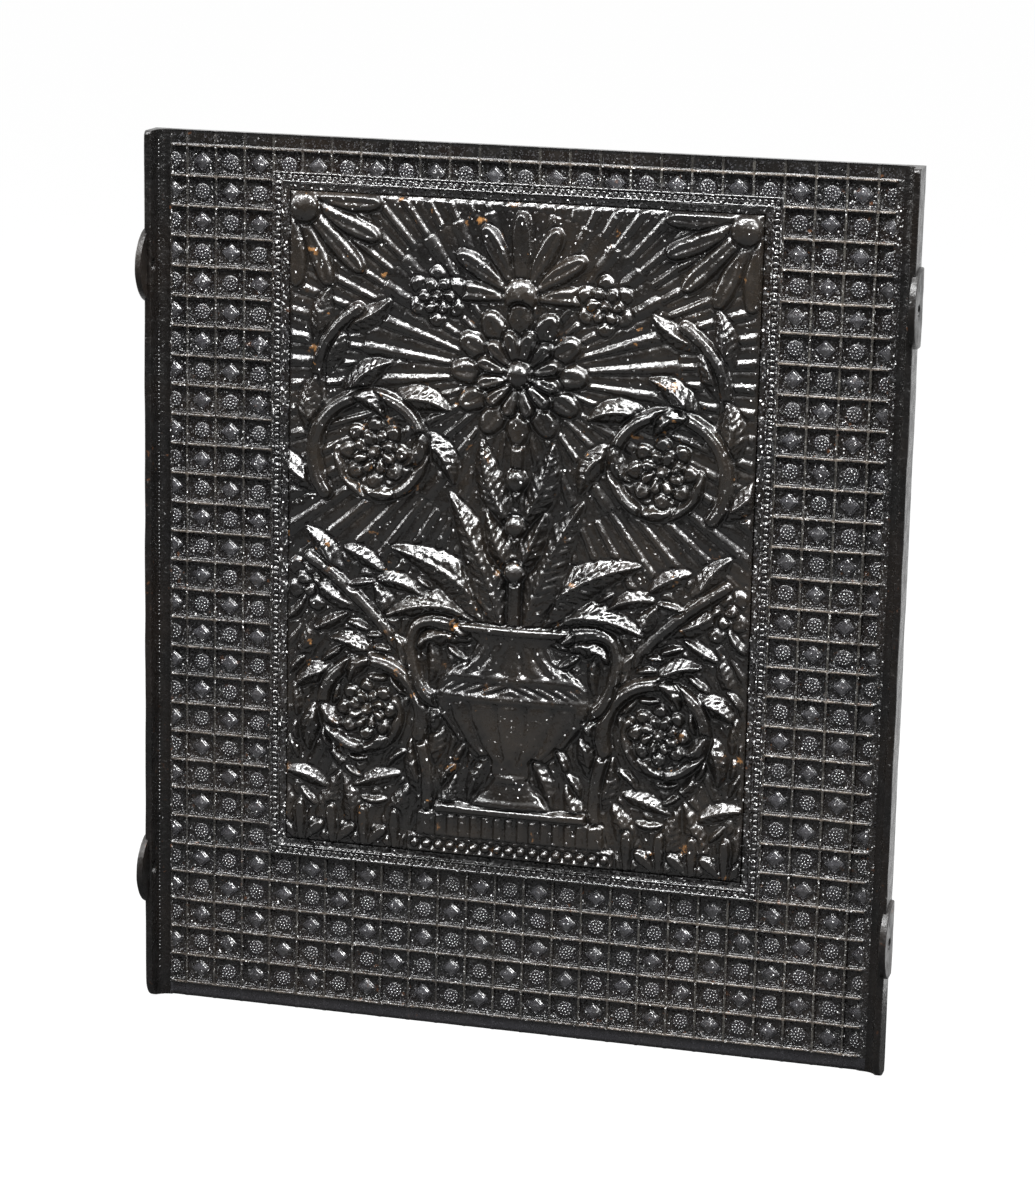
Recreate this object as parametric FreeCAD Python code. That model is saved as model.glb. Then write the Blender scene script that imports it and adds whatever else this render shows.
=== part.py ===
import FreeCAD, Part

import math
import os

os.makedirs("parts", exist_ok=True)

# Cast-iron fireback: a lattice-faced back plate with side flanges, an ornament panel held in a
# seat by a bead frame, and four bolting lugs riveted to the flanges.
# X runs to the viewer's right, +Y away from the viewer into the chimney, +Z up.
# The origin is under the middle of the object, on the hearth.  Lengths are in millimetres.

# ---- back plate ----
PLATE_WIDTH = 600.0
PLATE_HEIGHT = 702.0
PLATE_THICKNESS = 8.0
BACK_EDGE = 1.5             # worn bevel along the back's upright edges

# ---- side flanges ----
FLANGE_THICKNESS = 5.5
FLANGE_DEPTH = 20.0         # how far the flange stands in front of the rib tops
FLANGE_FOOT_RADIUS = 18.0   # the flange's front edge sweeps back in to the bottom edge
FLANGE_HEAD_RADIUS = 4.0    # its much sharper corner at the top
COVE_RADIUS = 9.0           # casting fillet between flange and face

# ---- lattice of ribs, pockets and studs ----
CELL = 23.4                 # pitch of the lattice, both ways
LATTICE_SHIFT = -2.6        # the lattice and the ornament lie this far off the plate's middle
FIRST_RIB_HEIGHT = 11.7     # height of the lowest cross rib above the bottom edge
TOP_BAND = 11.7             # least band above the highest cross rib
END_BAND_DEPTH = 1.4        # the plain bands below the lowest and above the highest cross rib
SIDE_STRIP = 1.0            # least plain strip between the pockets and the cove
RIB_TOP = 1.8
RIB_FLANK = 1.5             # width of the sloping side of a rib
POCKET_DEPTH = 3.0
DIAMOND_REACH = 7.8         # from a square stud's middle to its corners
DIAMOND_RISE = 2.8
ROSETTE_REACH = 6.4
ROSETTE_RISE = 2.3
ROSETTE_SIDES = 6

# ---- seat for the bead frame and the panel ----
SEAT_WIDTH = 397.8
SEAT_HEIGHT = 545.7
SEAT_BOTTOM = 128.7         # height of the seat's lower edge above the bottom edge
SEAT_DEPTH = 3.5
SEAT_CLEARANCE = 0.2

# ---- bead frame: section across the moulding, from its outer edge inwards ----
FRAME_RISE = 5.2            # the fillets above the seat
FILLET_WIDTH = 1.8
FILLET_BEVEL = 0.4
BEAD_DIAMETER = 4.6
BEAD_BED = 3.9              # the bed under the beads above the seat
LIP_WIDTH = 5.2             # how far the sloping lip reaches in over the panel's rim
LIP_EDGE = 1.0              # thickness of the lip's inner edge
LIP_CLEARANCE = 0.3

# ---- ornament panel ----
RIM_THICKNESS = 2.0         # the panel's rim, under the frame's lip
RIM_GAP = 0.8               # sunk line left open between the lip and the raised field
FIELD_THICKNESS = 4.0
FIELD_BEVEL = 1.2
PANEL_CLEARANCE = 0.4

# ---- screws that hold the bead frame from behind ----
SCREW_DIAMETER = 4.0
SCREW_HEAD_DIAMETER = 8.0
SCREW_SINK_DEPTH = 2.0
SCREW_GRIP = 3.0            # how far the screw enters the frame
SCREW_SLOT_WIDTH = 1.2
SCREW_SLOT_DEPTH = 1.0
SCREW_CLEARANCE = 0.15
SCREWS_UP_EACH_SIDE = 2
SCREW_END_MARGIN = 110.0    # from the frame's end to the nearest screw of its long sides
FIXING_SIDES = 6            # screws, rivets and their holes get flat sides, so facets stay few

# ---- lugs ----
LUG_LENGTH = 60.0           # vertical length, which is also the width of the half-round nose
LUG_THICKNESS = 5.0
LUG_PROUD = 2.3             # how far the lug stands out of the flange's outer face
LUG_PROJECTION = 14.0       # how far the nose stands in front of the flange
LUG_BACK_MARGIN = 3.0       # from the plate's back to the lug's straight back edge
LUG_EDGE = 1.0              # worn chamfer down the lug's straight back edge
LUG_FIT = 0.2               # clearance round the lug in its seat
NOSE_FLATS = 14             # the nose is rounded with short flats
UPPER_LUG_DROP = 104.1      # from the plate's top edge down to the middle of the upper lugs
LOWER_LUG_HEIGHT = 110.0
BOLT_DIAMETER = 9.0
BOLT_SETBACK = 6.0          # from the flange's front edge back to the bolt hole's axis
BOLT_CLEARANCE = 0.8        # the cast hole through the flange is wider than the lug's

# ---- rivets ----
RIVET_DIAMETER = 4.0
RIVET_SPACING = 34.0        # between the two rivets of one lug
RIVET_HEAD_DIAMETER = 7.5
RIVET_SINK_DEPTH = 1.6
RIVET_CLEARANCE = 0.1

# ---- main forms of the ornament, measured from the foot of the panel's field ----
PLINTH_STEPS = ((84.0, 0.0, 15.0, 5.4), (76.0, 15.0, 35.0, 6.6), (62.0, 35.0, 43.0, 9.0))
PLINTH_BEVEL = 1.5          # the plinth's steps give half-width, foot, top and rise
URN_HALF_WIDTHS = (36.0, 13.0, 22.0, 62.0, 60.0, 29.0, 46.0)
URN_LEVELS = (42.0, 66.0, 76.0, 128.0, 142.0, 174.0, 188.0)
URN_RISE = 6.5              # of a slender neck; the wider the urn, the further it stands out
URN_FULLNESS = 0.1          # added rise as a share of its half-width
URN_FLATS = 6               # round the visible half of the urn
HANDLE = ((40.0, 184.0), (68.0, 188.0), (79.0, 166.0), (75.0, 138.0), (56.0, 124.0))
STEM_WIDTH = 11.0
STEM_RISE = 9.5
CROWN_HEIGHT = 386.0
CROWN_RADIUS = 50.0
CROWN_PETALS = 8
FLOWER_RISE = 10.5
PETAL_RISE = 0.65           # of a flower's petals as a share of its eye's rise
PETAL_TAPER = 0.85          # size of the petals' front as a share of their foot
PETAL_NOTCH = 0.78          # radius between two petals as a share of the flower's radius
SMALL_PETALS = 6
# Leaves over the urn's lip: heading, length, width and curl of each.
BOUQUET = ((8.0, 92.0, 26.0, -50.0), (34.0, 112.0, 30.0, -62.0),
           (56.0, 120.0, 32.0, -46.0), (76.0, 118.0, 32.0, -18.0))
# Leaves on the middle stem: height, then heading, length, width and curl.
STEM_LEAVES = ((232.0, 62.0, 52.0, 20.0, 10.0), (268.0, 52.0, 74.0, 26.0, 34.0))
# Scrolls: eye, radius, turn (1 winds to the left) and the angle at which the stem starts.
SCROLLS = ((118.0, 112.0, 46.0, -1, 200.0), (114.0, 318.0, 52.0, 1, 320.0))
SCROLL_SWEEP = 400.0
SCROLL_TIGHTEN = 0.55       # radius of a scroll's stem at its end as a share of its start
SCROLL_STEPS = 10
SCROLL_LEAF_SHARES = (0.02, 0.14, 0.26, 0.38, 0.5)      # where leaves leave the scroll's stem
SCROLL_LEAF_LEAN = 46.0
SCROLL_LEAF_CURL = 60.0
SCROLL_LEAF_WIDTH = 0.42    # as a share of the scroll's radius, which is the leaf's length
SCROLL_FLOWER = 0.46        # radius as a share of the scroll's radius
BRANCHES = (((80.0, 6.0), (58.0, 40.0), (74.0, 92.0)),
            ((80.0, 146.0), (110.0, 196.0), (166.0, 232.0)),
            ((158.0, 352.0), (172.0, 400.0), (128.0, 430.0)))
BRANCH_STEPS = 4
SIDE_FLOWERS = ((160.0, 214.0, 21.0), (66.0, 442.0, 19.0))     # eye and radius of each
PALMETTE_HEIGHT = 446.0
PALMETTE_LOBES = 7
PALMETTE_SPREAD = 176.0
PALMETTE_LENGTH = 58.0
CORNER_LOBES = 5
CORNER_SPREAD = 90.0
CORNER_LENGTH = 72.0
CORNER_INSET = 6.0          # from the field's corner to the root of the fan that fills it
LOBE_WIDTH = 17.0
GROUND_LEAVES = 4
GROUND_START = 100.0        # from the panel's middle to the first leaf that stands on the field's foot
GROUND_PITCH = 26.0
GROUND_LEAF_LENGTH = 62.0
GROUND_LEAF_WIDTH = 22.0
LEAF_RISE = 9.0
LONG_LEAF = ((0.3, 0.95), (0.7, 0.8))    # along a leaf: share of its length, share of its width
SHORT_LEAF = ((0.4, 1.0),)
LOBE = ((0.78, 1.0),)
OVERLAP = 0.5               # how far the ornament is sunk into the field it grows from

# ---- places worked out from the sizes above ----
FACE_Y = (FLANGE_DEPTH + LUG_PROJECTION - PLATE_THICKNESS) / 2     # the rib tops
BACK_Y = FACE_Y + PLATE_THICKNESS
FLANGE_FRONT_Y = FACE_Y - FLANGE_DEPTH
FLOOR_Y = FACE_Y + POCKET_DEPTH
SEAT_Y = FACE_Y + SEAT_DEPTH
HALF_WIDTH = PLATE_WIDTH / 2
UPPER_LUG_HEIGHT = PLATE_HEIGHT - UPPER_LUG_DROP
INNER_X = HALF_WIDTH - FLANGE_THICKNESS
COVE_FOOT_X = INNER_X - COVE_RADIUS
SEAT_TOP = SEAT_BOTTOM + SEAT_HEIGHT
PANEL_X = LATTICE_SHIFT
MOULDING_WIDTH = 2 * FILLET_WIDTH + BEAD_DIAMETER
BOLT_Y = FLANGE_FRONT_Y + BOLT_SETBACK
LUG_NOSE_Y = FLANGE_FRONT_Y - LUG_PROJECTION
LUG_BACK_Y = BACK_Y - LUG_BACK_MARGIN
LUG_OUTER_X = HALF_WIDTH + LUG_PROUD
LUG_INNER_X = LUG_OUTER_X - LUG_THICKNESS
FIELD_INSET = SEAT_CLEARANCE + MOULDING_WIDTH + LIP_WIDTH + RIM_GAP
FIELD_HALF_WIDTH = SEAT_WIDTH / 2 - FIELD_INSET
FIELD_BOTTOM = SEAT_BOTTOM + FIELD_INSET
FIELD_TOP = SEAT_TOP - FIELD_INSET
FIELD_Y = SEAT_Y - FIELD_THICKNESS
LUGS = {
    "upper_left_lug": (-1, UPPER_LUG_HEIGHT),
    "upper_right_lug": (1, UPPER_LUG_HEIGHT),
    "lower_left_lug": (-1, LOWER_LUG_HEIGHT),
    "lower_right_lug": (1, LOWER_LUG_HEIGHT),
}


# ---- helpers ----
def vec(x, y, z):
    return FreeCAD.Vector(x, y, z)


def block(x0, x1, y0, y1, z0, z1):
    return Part.makeBox(x1 - x0, y1 - y0, z1 - z0, vec(x0, y0, z0))


def solid_of(polygons):
    """Closed solid from its flat faces, each given by its corners in order."""
    faces = [Part.Face(Part.makePolygon(corners + corners[:1])) for corners in polygons]
    solid = Part.makeSolid(Part.makeShell(faces))
    if solid.Volume < 0:
        solid.reverse()
    return solid


def along_x(radius, x0, x1, y, z):
    return Part.makeCylinder(radius, x1 - x0, vec(x0, y, z), vec(1, 0, 0))


def flat_sided(stations):
    """Bar along X over the origin through (place, radius) stations, with the fixings' flat sides."""
    rings = []
    for x, radius in stations:
        ring = []
        for k in range(FIXING_SIDES):
            angle = 2 * math.pi * (k + 0.5) / FIXING_SIDES
            ring.append(vec(x, radius * math.cos(angle), radius * math.sin(angle)))
        rings.append(ring)
    faces = [rings[0], rings[-1]]
    for near, far in zip(rings, rings[1:]):
        for k in range(FIXING_SIDES):
            after = (k + 1) % FIXING_SIDES
            faces.append([near[k], near[after], far[after], far[k]])
    return solid_of(faces)


def sunk_bar(tip, face, shank, head, sink_depth, clearance):
    """Bar from its tip to a countersunk head flush with the face, the shank grown by the clearance."""
    wide = shank + clearance
    neck = face - sink_depth * (head - wide) / (head - shank)
    return flat_sided([(tip, wide), (neck, wide), (face, head)])


def on_side(side, shape):
    """A shape drawn for the right-hand side, or its mirror image for the left."""
    if side > 0:
        return shape
    return shape.mirror(vec(0, 0, 0), vec(1, 0, 0))


# ---- lattice ----
def stud(sides, reach, turn, rise):
    """Low pyramid standing on the pockets' floor over the origin."""
    corners = []
    for k in range(sides):
        angle = turn + 2 * math.pi * k / sides
        corners.append(vec(reach * math.cos(angle), FLOOR_Y, reach * math.sin(angle)))
    apex = vec(0, FLOOR_Y - rise, 0)
    sloping = [[corners[k], corners[(k + 1) % sides], apex] for k in range(sides)]
    return solid_of([corners] + sloping)


def hollow():
    """One cell's pocket over the origin, narrowing from the rib tops to the floor."""
    mouth = (CELL - RIB_TOP) / 2
    floor = mouth - RIB_FLANK
    return Part.makeWedge(-mouth, FACE_Y, -mouth, -floor, -floor,
                          mouth, FLOOR_Y, mouth, floor, floor)


def shared(low_a, high_a, low_b, high_b):
    return min(high_a, high_b) - max(low_a, low_b)


def lattice_hollows():
    """The end bands and the pockets round the seat, each with its stud left standing."""
    plain = hollow()
    rosette = plain.cut(stud(ROSETTE_SIDES, ROSETTE_REACH, math.pi / ROSETTE_SIDES, ROSETTE_RISE))
    diamond = plain.cut(stud(4, DIAMOND_REACH, 0.0, DIAMOND_RISE))
    reach = COVE_FOOT_X - SIDE_STRIP - abs(LATTICE_SHIFT)
    low_x = LATTICE_SHIFT - reach
    high_x = LATTICE_SHIFT + reach
    field = block(low_x, high_x, FACE_Y - 1, FLOOR_Y + 1, -CELL, PLATE_HEIGHT + CELL)
    seat_low_x = PANEL_X - SEAT_WIDTH / 2
    seat_high_x = PANEL_X + SEAT_WIDTH / 2
    seat = block(seat_low_x, seat_high_x, FACE_Y - 1, FLOOR_Y + 1, SEAT_BOTTOM, SEAT_TOP)
    rows = int((PLATE_HEIGHT - TOP_BAND - FIRST_RIB_HEIGHT) / CELL + 0.01)
    columns = int(HALF_WIDTH / CELL) + 1
    least = RIB_TOP + RIB_FLANK
    last_rib_height = FIRST_RIB_HEIGHT + rows * CELL
    band_y = FACE_Y + END_BAND_DEPTH
    cells = [block(low_x, high_x, FACE_Y - 1, band_y, -1, FIRST_RIB_HEIGHT - RIB_TOP / 2),
             block(low_x, high_x, FACE_Y - 1, band_y, last_rib_height + RIB_TOP / 2, PLATE_HEIGHT + 1)]
    for column in range(-columns, columns + 1):
        x = LATTICE_SHIFT + column * CELL
        x0 = x - CELL / 2
        x1 = x + CELL / 2
        if shared(x0, x1, low_x, high_x) < least:
            continue
        for row in range(rows):
            z = FIRST_RIB_HEIGHT + (row + 0.5) * CELL
            z0 = z - CELL / 2
            z1 = z + CELL / 2
            cell = (rosette, diamond)[(column + row) % 2].translated(vec(x, 0, z))
            if x0 < low_x or x1 > high_x:
                cell = cell.common(field)
            over_x = shared(x0, x1, seat_low_x, seat_high_x)
            over_z = shared(z0, z1, SEAT_BOTTOM, SEAT_TOP)
            if min(over_x, over_z) > CELL - least:
                continue
            if min(over_x, over_z) > RIB_TOP / 2:
                cell = cell.cut(seat)
            cells.extend(cell.Solids)
    return cells


# ---- back plate ----
def plate_blank():
    """The casting's constant section with its two flanges and coves, drawn upwards."""
    bend = COVE_RADIUS * math.sqrt(0.5)
    centre_y = FACE_Y - COVE_RADIUS
    edges = []
    for side in (-1, 1):
        foot = vec(side * COVE_FOOT_X, FACE_Y, 0)
        middle = vec(side * (COVE_FOOT_X + bend), centre_y + bend, 0)
        wall = vec(side * INNER_X, centre_y, 0)
        edges.append(Part.Arc(foot, middle, wall).toShape())
        run = [wall,
               vec(side * INNER_X, FLANGE_FRONT_Y, 0),
               vec(side * HALF_WIDTH, FLANGE_FRONT_Y, 0),
               vec(side * HALF_WIDTH, BACK_Y - BACK_EDGE, 0),
               vec(side * (HALF_WIDTH - BACK_EDGE), BACK_Y, 0)]
        edges.extend(Part.makeLine(a, b) for a, b in zip(run, run[1:]))
    edges.append(Part.makeLine(vec(-COVE_FOOT_X, FACE_Y, 0), vec(COVE_FOOT_X, FACE_Y, 0)))
    edges.append(Part.makeLine(vec(BACK_EDGE - HALF_WIDTH, BACK_Y, 0),
                               vec(HALF_WIDTH - BACK_EDGE, BACK_Y, 0)))
    section = Part.Face(Part.Wire(Part.__sortEdges__(edges)))
    blank = section.extrude(vec(0, 0, PLATE_HEIGHT))
    foot = flange_corner(FLANGE_FOOT_RADIUS)
    head = flange_corner(FLANGE_HEAD_RADIUS)
    head = head.mirror(vec(0, 0, PLATE_HEIGHT / 2), vec(0, 0, 1))
    return blank.cut([foot, head])


def flange_corner(radius):
    """What both flanges lose where their front edge is rounded off into the bottom edge."""
    y = FLANGE_FRONT_Y + radius
    square = block(-HALF_WIDTH - 1, HALF_WIDTH + 1, FLANGE_FRONT_Y - 1, y, -1, radius)
    return square.cut(along_x(radius, -HALF_WIDTH - 2, HALF_WIDTH + 2, y, radius))


def screw_places():
    """Middles of the bead frame's screws, on the line of its beads."""
    inset = SEAT_CLEARANCE + MOULDING_WIDTH / 2
    reach = SEAT_WIDTH / 2 - inset
    low = SEAT_BOTTOM + SCREW_END_MARGIN
    step = (SEAT_HEIGHT - 2 * SCREW_END_MARGIN) / (SCREWS_UP_EACH_SIDE - 1)
    places = [(PANEL_X, SEAT_BOTTOM + inset), (PANEL_X, SEAT_TOP - inset)]
    for side in (-1, 1):
        for k in range(SCREWS_UP_EACH_SIDE):
            places.append((PANEL_X + side * reach, low + k * step))
    return places


def screw_body(clearance):
    """Countersunk screw with its head flush in the back, its tip towards the viewer."""
    body = sunk_bar(SEAT_Y - SCREW_GRIP, BACK_Y, SCREW_DIAMETER / 2, SCREW_HEAD_DIAMETER / 2,
                    SCREW_SINK_DEPTH, clearance)
    body.rotate(vec(0, 0, 0), vec(0, 0, 1), 90)
    return body


def in_all_places(shape):
    return [shape.translated(vec(x, 0, z)) for x, z in screw_places()]


def frame_screws():
    slot = block(-SCREW_HEAD_DIAMETER, SCREW_HEAD_DIAMETER, BACK_Y - SCREW_SLOT_DEPTH, BACK_Y + 1,
                 -SCREW_SLOT_WIDTH / 2, SCREW_SLOT_WIDTH / 2)
    return Part.makeCompound(in_all_places(screw_body(0.0).cut(slot)))


# ---- lugs and rivets, drawn for the right-hand side over height 0 ----
def lug_body(grow, x0, x1):
    """Tongue with a half-round nose towards the viewer, grown all round by the clearance."""
    radius = LUG_LENGTH / 2 + grow
    nose_y = LUG_NOSE_Y + LUG_LENGTH / 2
    outline = [vec(x0, LUG_BACK_Y + grow, -radius)]
    for k in range(NOSE_FLATS + 1):
        angle = math.pi * (k / NOSE_FLATS - 0.5)
        outline.append(vec(x0, nose_y - radius * math.cos(angle), radius * math.sin(angle)))
    outline.append(vec(x0, LUG_BACK_Y + grow, radius))
    face = Part.Face(Part.makePolygon(outline + outline[:1]))
    return face.extrude(vec(x1 - x0, 0, 0))


def rivet_body(clearance):
    """Rivet hammered flush inside the flange, with its sunk head flush with the lug."""
    body = sunk_bar(INNER_X, LUG_OUTER_X, RIVET_DIAMETER / 2, RIVET_HEAD_DIAMETER / 2,
                    RIVET_SINK_DEPTH, clearance)
    return body.translated(vec(0, BOLT_Y, 0))


def rivet_offsets():
    return (vec(0, 0, -RIVET_SPACING / 2), vec(0, 0, RIVET_SPACING / 2))


def lug():
    body = lug_body(0.0, LUG_INNER_X, LUG_OUTER_X)
    back = []
    for edge in body.Edges:
        middle = edge.CenterOfMass
        if middle.x > LUG_OUTER_X - 0.001 and middle.y > LUG_BACK_Y - 0.001:
            back.append(edge)
    body = body.makeChamfer(LUG_EDGE, back)
    for offset in rivet_offsets():
        body = body.cut(rivet_body(RIVET_CLEARANCE).translated(offset))
    return body.cut(along_x(BOLT_DIAMETER / 2, LUG_INNER_X - 1, LUG_OUTER_X + 1, BOLT_Y, 0))


def lug_seat():
    """What the flange loses to one lug: the seat, the bolt's cast hole and the rivets' holes."""
    cast_radius = BOLT_DIAMETER / 2 + BOLT_CLEARANCE
    cast_hole = flat_sided([(INNER_X - 1, cast_radius), (LUG_OUTER_X, cast_radius)])
    tools = [lug_body(LUG_FIT, LUG_INNER_X, HALF_WIDTH + 1), cast_hole.translated(vec(0, BOLT_Y, 0))]
    tools.extend(rivet_body(RIVET_CLEARANCE).translated(offset) for offset in rivet_offsets())
    return tools


def lug_rivets():
    rivets = []
    for side, height in LUGS.values():
        for offset in rivet_offsets():
            rivets.append(on_side(side, rivet_body(0.0).translated(offset + vec(0, 0, height))))
    return Part.makeCompound(rivets)


def back_plate():
    seat = block(PANEL_X - SEAT_WIDTH / 2, PANEL_X + SEAT_WIDTH / 2,
                 FACE_Y - 1, SEAT_Y, SEAT_BOTTOM, SEAT_TOP)
    tools = in_all_places(screw_body(SCREW_CLEARANCE))
    for side, height in LUGS.values():
        tools.extend(on_side(side, tool.translated(vec(0, 0, height))) for tool in lug_seat())
    return plate_blank().cut(lattice_hollows()).cut(seat).cut(tools)


# ---- bead frame ----
def bead_frame():
    """One moulding section carried round a rectangle with mitred corners."""
    inner_fillet = FILLET_WIDTH + BEAD_DIAMETER
    lip_under = RIM_THICKNESS + LIP_CLEARANCE
    section = [(0.0, 0.0),
               (0.0, FRAME_RISE - FILLET_BEVEL),
               (FILLET_BEVEL, FRAME_RISE),
               (FILLET_WIDTH - FILLET_BEVEL, FRAME_RISE),
               (FILLET_WIDTH, BEAD_BED),
               (inner_fillet, BEAD_BED),
               (inner_fillet + FILLET_BEVEL, FRAME_RISE),
               (MOULDING_WIDTH, FRAME_RISE),
               (MOULDING_WIDTH + LIP_WIDTH, lip_under + LIP_EDGE),
               (MOULDING_WIDTH + LIP_WIDTH, lip_under),
               (MOULDING_WIDTH, lip_under),
               (MOULDING_WIDTH, 0.0)]
    half_x = SEAT_WIDTH / 2 - SEAT_CLEARANCE
    half_z = SEAT_HEIGHT / 2 - SEAT_CLEARANCE
    middle_z = SEAT_BOTTOM + SEAT_HEIGHT / 2
    turns = ((1, 1), (-1, 1), (-1, -1), (1, -1))

    def corner(inward, rise, turn):
        return vec(PANEL_X + turn[0] * (half_x - inward), SEAT_Y - rise,
                   middle_z + turn[1] * (half_z - inward))

    sides = []
    for a, b in zip(section, section[1:] + section[:1]):
        for first, second in zip(turns, turns[1:] + turns[:1]):
            sides.append([corner(*a, first), corner(*b, first),
                          corner(*b, second), corner(*a, second)])
    return solid_of(sides).cut(in_all_places(screw_body(0.0)))


# ---- ornament panel: forms are drawn over the field's foot, on its middle line ----
def distinct(corners):
    """The corners without those that repeat the one before."""
    kept = []
    for k, corner in enumerate(corners):
        if not corner.isEqual(corners[k - 1], 0.001):
            kept.append(corner)
    return kept


def ridged(stations):
    """Ridge along (x, z, half-width, rise) stations; it comes to a point where the width is 0."""
    left = []
    ridge = []
    right = []
    for k, (x, z, half_width, rise) in enumerate(stations):
        before = stations[max(k - 1, 0)]
        after = stations[min(k + 1, len(stations) - 1)]
        ahead = vec(after[0] - before[0], 0, after[1] - before[1]).normalize()
        across = vec(-ahead.z, 0, ahead.x) * half_width
        foot = vec(x, FIELD_Y + OVERLAP, z)
        left.append(foot + across)
        ridge.append(vec(x, FIELD_Y - rise, z) if half_width else foot)
        right.append(foot - across)
    faces = [left + right[::-1],
             [left[0], ridge[0], right[0]],
             [left[-1], ridge[-1], right[-1]]]
    for edge in (left, right):
        for k in range(len(stations) - 1):
            faces.append([edge[k], edge[k + 1], ridge[k + 1]])
            faces.append([edge[k], ridge[k + 1], ridge[k]])
    faces = [distinct(face) for face in faces]
    return solid_of([face for face in faces if len(face) > 2])


def bend_point(start, turn, end, share):
    """Place on the curve from start to end that leans towards the turn."""
    rest = 1 - share
    return tuple(rest * rest * a + 2 * rest * share * b + share * share * c
                 for a, b, c in zip(start, turn, end))


def leaf(x, z, heading, length, width, curl=0.0, shape=SHORT_LEAF):
    """Leaf from its tail along the heading, its tip turned by the curl; angles in degrees."""
    first = math.radians(heading)
    last = math.radians(heading + curl)
    turn = (x + length / 2 * math.cos(first), z + length / 2 * math.sin(first))
    tip = (turn[0] + length / 2 * math.cos(last), turn[1] + length / 2 * math.sin(last))
    stations = [(x, z, 0.0, 0.0)]
    for share, breadth in shape:
        stations.append((*bend_point((x, z), turn, tip, share), breadth * width / 2, LEAF_RISE))
    stations.append((*tip, 0.0, 0.0))
    return ridged(stations)


def stem(places):
    return ridged([(x, z, STEM_WIDTH / 2, STEM_RISE) for x, z in places])


def fan(x, z, heading, spread, count, length):
    """Lobes from one place, spread evenly about the heading."""
    step = spread / (count - 1)
    return [leaf(x, z, heading - spread / 2 + k * step, length, LOBE_WIDTH, shape=LOBE)
            for k in range(count)]


def flower(x, z, radius, petals):
    """Open flower: a notched ring of petals that rises to its eye."""
    rings = []
    for size, y in ((1.0, FIELD_Y + OVERLAP), (PETAL_TAPER, FIELD_Y - PETAL_RISE * FLOWER_RISE)):
        ring = []
        for k in range(2 * petals):
            reach = radius * size * (1.0, PETAL_NOTCH)[k % 2]
            angle = math.pi * k / petals + math.pi / 2
            ring.append(vec(x + reach * math.cos(angle), y, z + reach * math.sin(angle)))
        rings.append(ring)
    foot, front = rings
    eye = vec(x, FIELD_Y - FLOWER_RISE, z)
    faces = [foot]
    for k in range(2 * petals):
        faces.append([foot[k - 1], foot[k], front[k], front[k - 1]])
        faces.append([front[k - 1], front[k], eye])
    return solid_of(faces)


def bar(half_x, z0, z1, back_y, front_y, bevel):
    """Block across the middle line, drawn in by the bevel towards the viewer."""
    back = []
    front = []
    for way_x, way_z, z in ((-1, 1, z0), (1, 1, z0), (1, -1, z1), (-1, -1, z1)):
        back.append(vec(way_x * half_x, back_y, z))
        front.append(vec(way_x * (half_x - bevel), front_y, z + way_z * bevel))
    sides = [[back[k - 1], back[k], front[k], front[k - 1]] for k in range(4)]
    return solid_of([back, front] + sides)


def urn():
    """The front half of a turned vase, flatter than round, drawn from level to level."""
    rings = []
    for width, level in zip(URN_HALF_WIDTHS, URN_LEVELS):
        depth = URN_RISE + URN_FULLNESS * width + OVERLAP
        ring = []
        for k in range(URN_FLATS + 1):
            angle = math.pi * k / URN_FLATS
            y = FIELD_Y + OVERLAP - depth * math.sin(angle)
            ring.append(vec(width * math.cos(angle), y, level))
        rings.append(ring)
    back = [ring[0] for ring in rings] + [ring[-1] for ring in reversed(rings)]
    faces = [rings[0], rings[-1], back]
    for low, high in zip(rings, rings[1:]):
        for k in range(URN_FLATS):
            faces.append([low[k], low[k + 1], high[k + 1]])
            faces.append([low[k], high[k + 1], high[k]])
    return solid_of(faces)


def scroll(x, z, radius, turn, start):
    """Leafy scroll: a stem that winds in about a flower, with leaves along its outer side."""
    def on_stem(share):
        angle = math.radians(start + turn * SCROLL_SWEEP * share)
        reach = radius * (1 - (1 - SCROLL_TIGHTEN) * share)
        return x + reach * math.cos(angle), z + reach * math.sin(angle)

    forms = [flower(x, z, SCROLL_FLOWER * radius, SMALL_PETALS),
             stem([on_stem(k / SCROLL_STEPS) for k in range(SCROLL_STEPS + 1)])]
    for share in SCROLL_LEAF_SHARES:
        heading = start + turn * (SCROLL_SWEEP * share + 90.0 - SCROLL_LEAF_LEAN)
        forms.append(leaf(*on_stem(share), heading, radius, SCROLL_LEAF_WIDTH * radius,
                          turn * SCROLL_LEAF_CURL))
    return forms


def right_half():
    """The ornament beside the middle line, to be mirrored."""
    lip = URN_LEVELS[-1] - PLINTH_BEVEL
    forms = [stem(HANDLE)]
    forms.extend(leaf(0.0, lip, heading, length, width, curl, LONG_LEAF)
                 for heading, length, width, curl in BOUQUET)
    forms.extend(leaf(0.0, height, heading, length, width, curl)
                 for height, heading, length, width, curl in STEM_LEAVES)
    for place in SCROLLS:
        forms.extend(scroll(*place))
    for start, turn, end in BRANCHES:
        shares = [k / BRANCH_STEPS for k in range(BRANCH_STEPS + 1)]
        forms.append(stem([bend_point(start, turn, end, share) for share in shares]))
    forms.extend(flower(x, z, radius, SMALL_PETALS) for x, z, radius in SIDE_FLOWERS)
    corner_z = FIELD_TOP - FIELD_BOTTOM - CORNER_INSET
    forms.extend(fan(FIELD_HALF_WIDTH - CORNER_INSET, corner_z, 225.0, CORNER_SPREAD, CORNER_LOBES,
                     CORNER_LENGTH))
    for k in range(GROUND_LEAVES):
        forms.append(leaf(GROUND_START + k * GROUND_PITCH, FIELD_BEVEL, 90.0, GROUND_LEAF_LENGTH,
                          GROUND_LEAF_WIDTH))
    return forms


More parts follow.
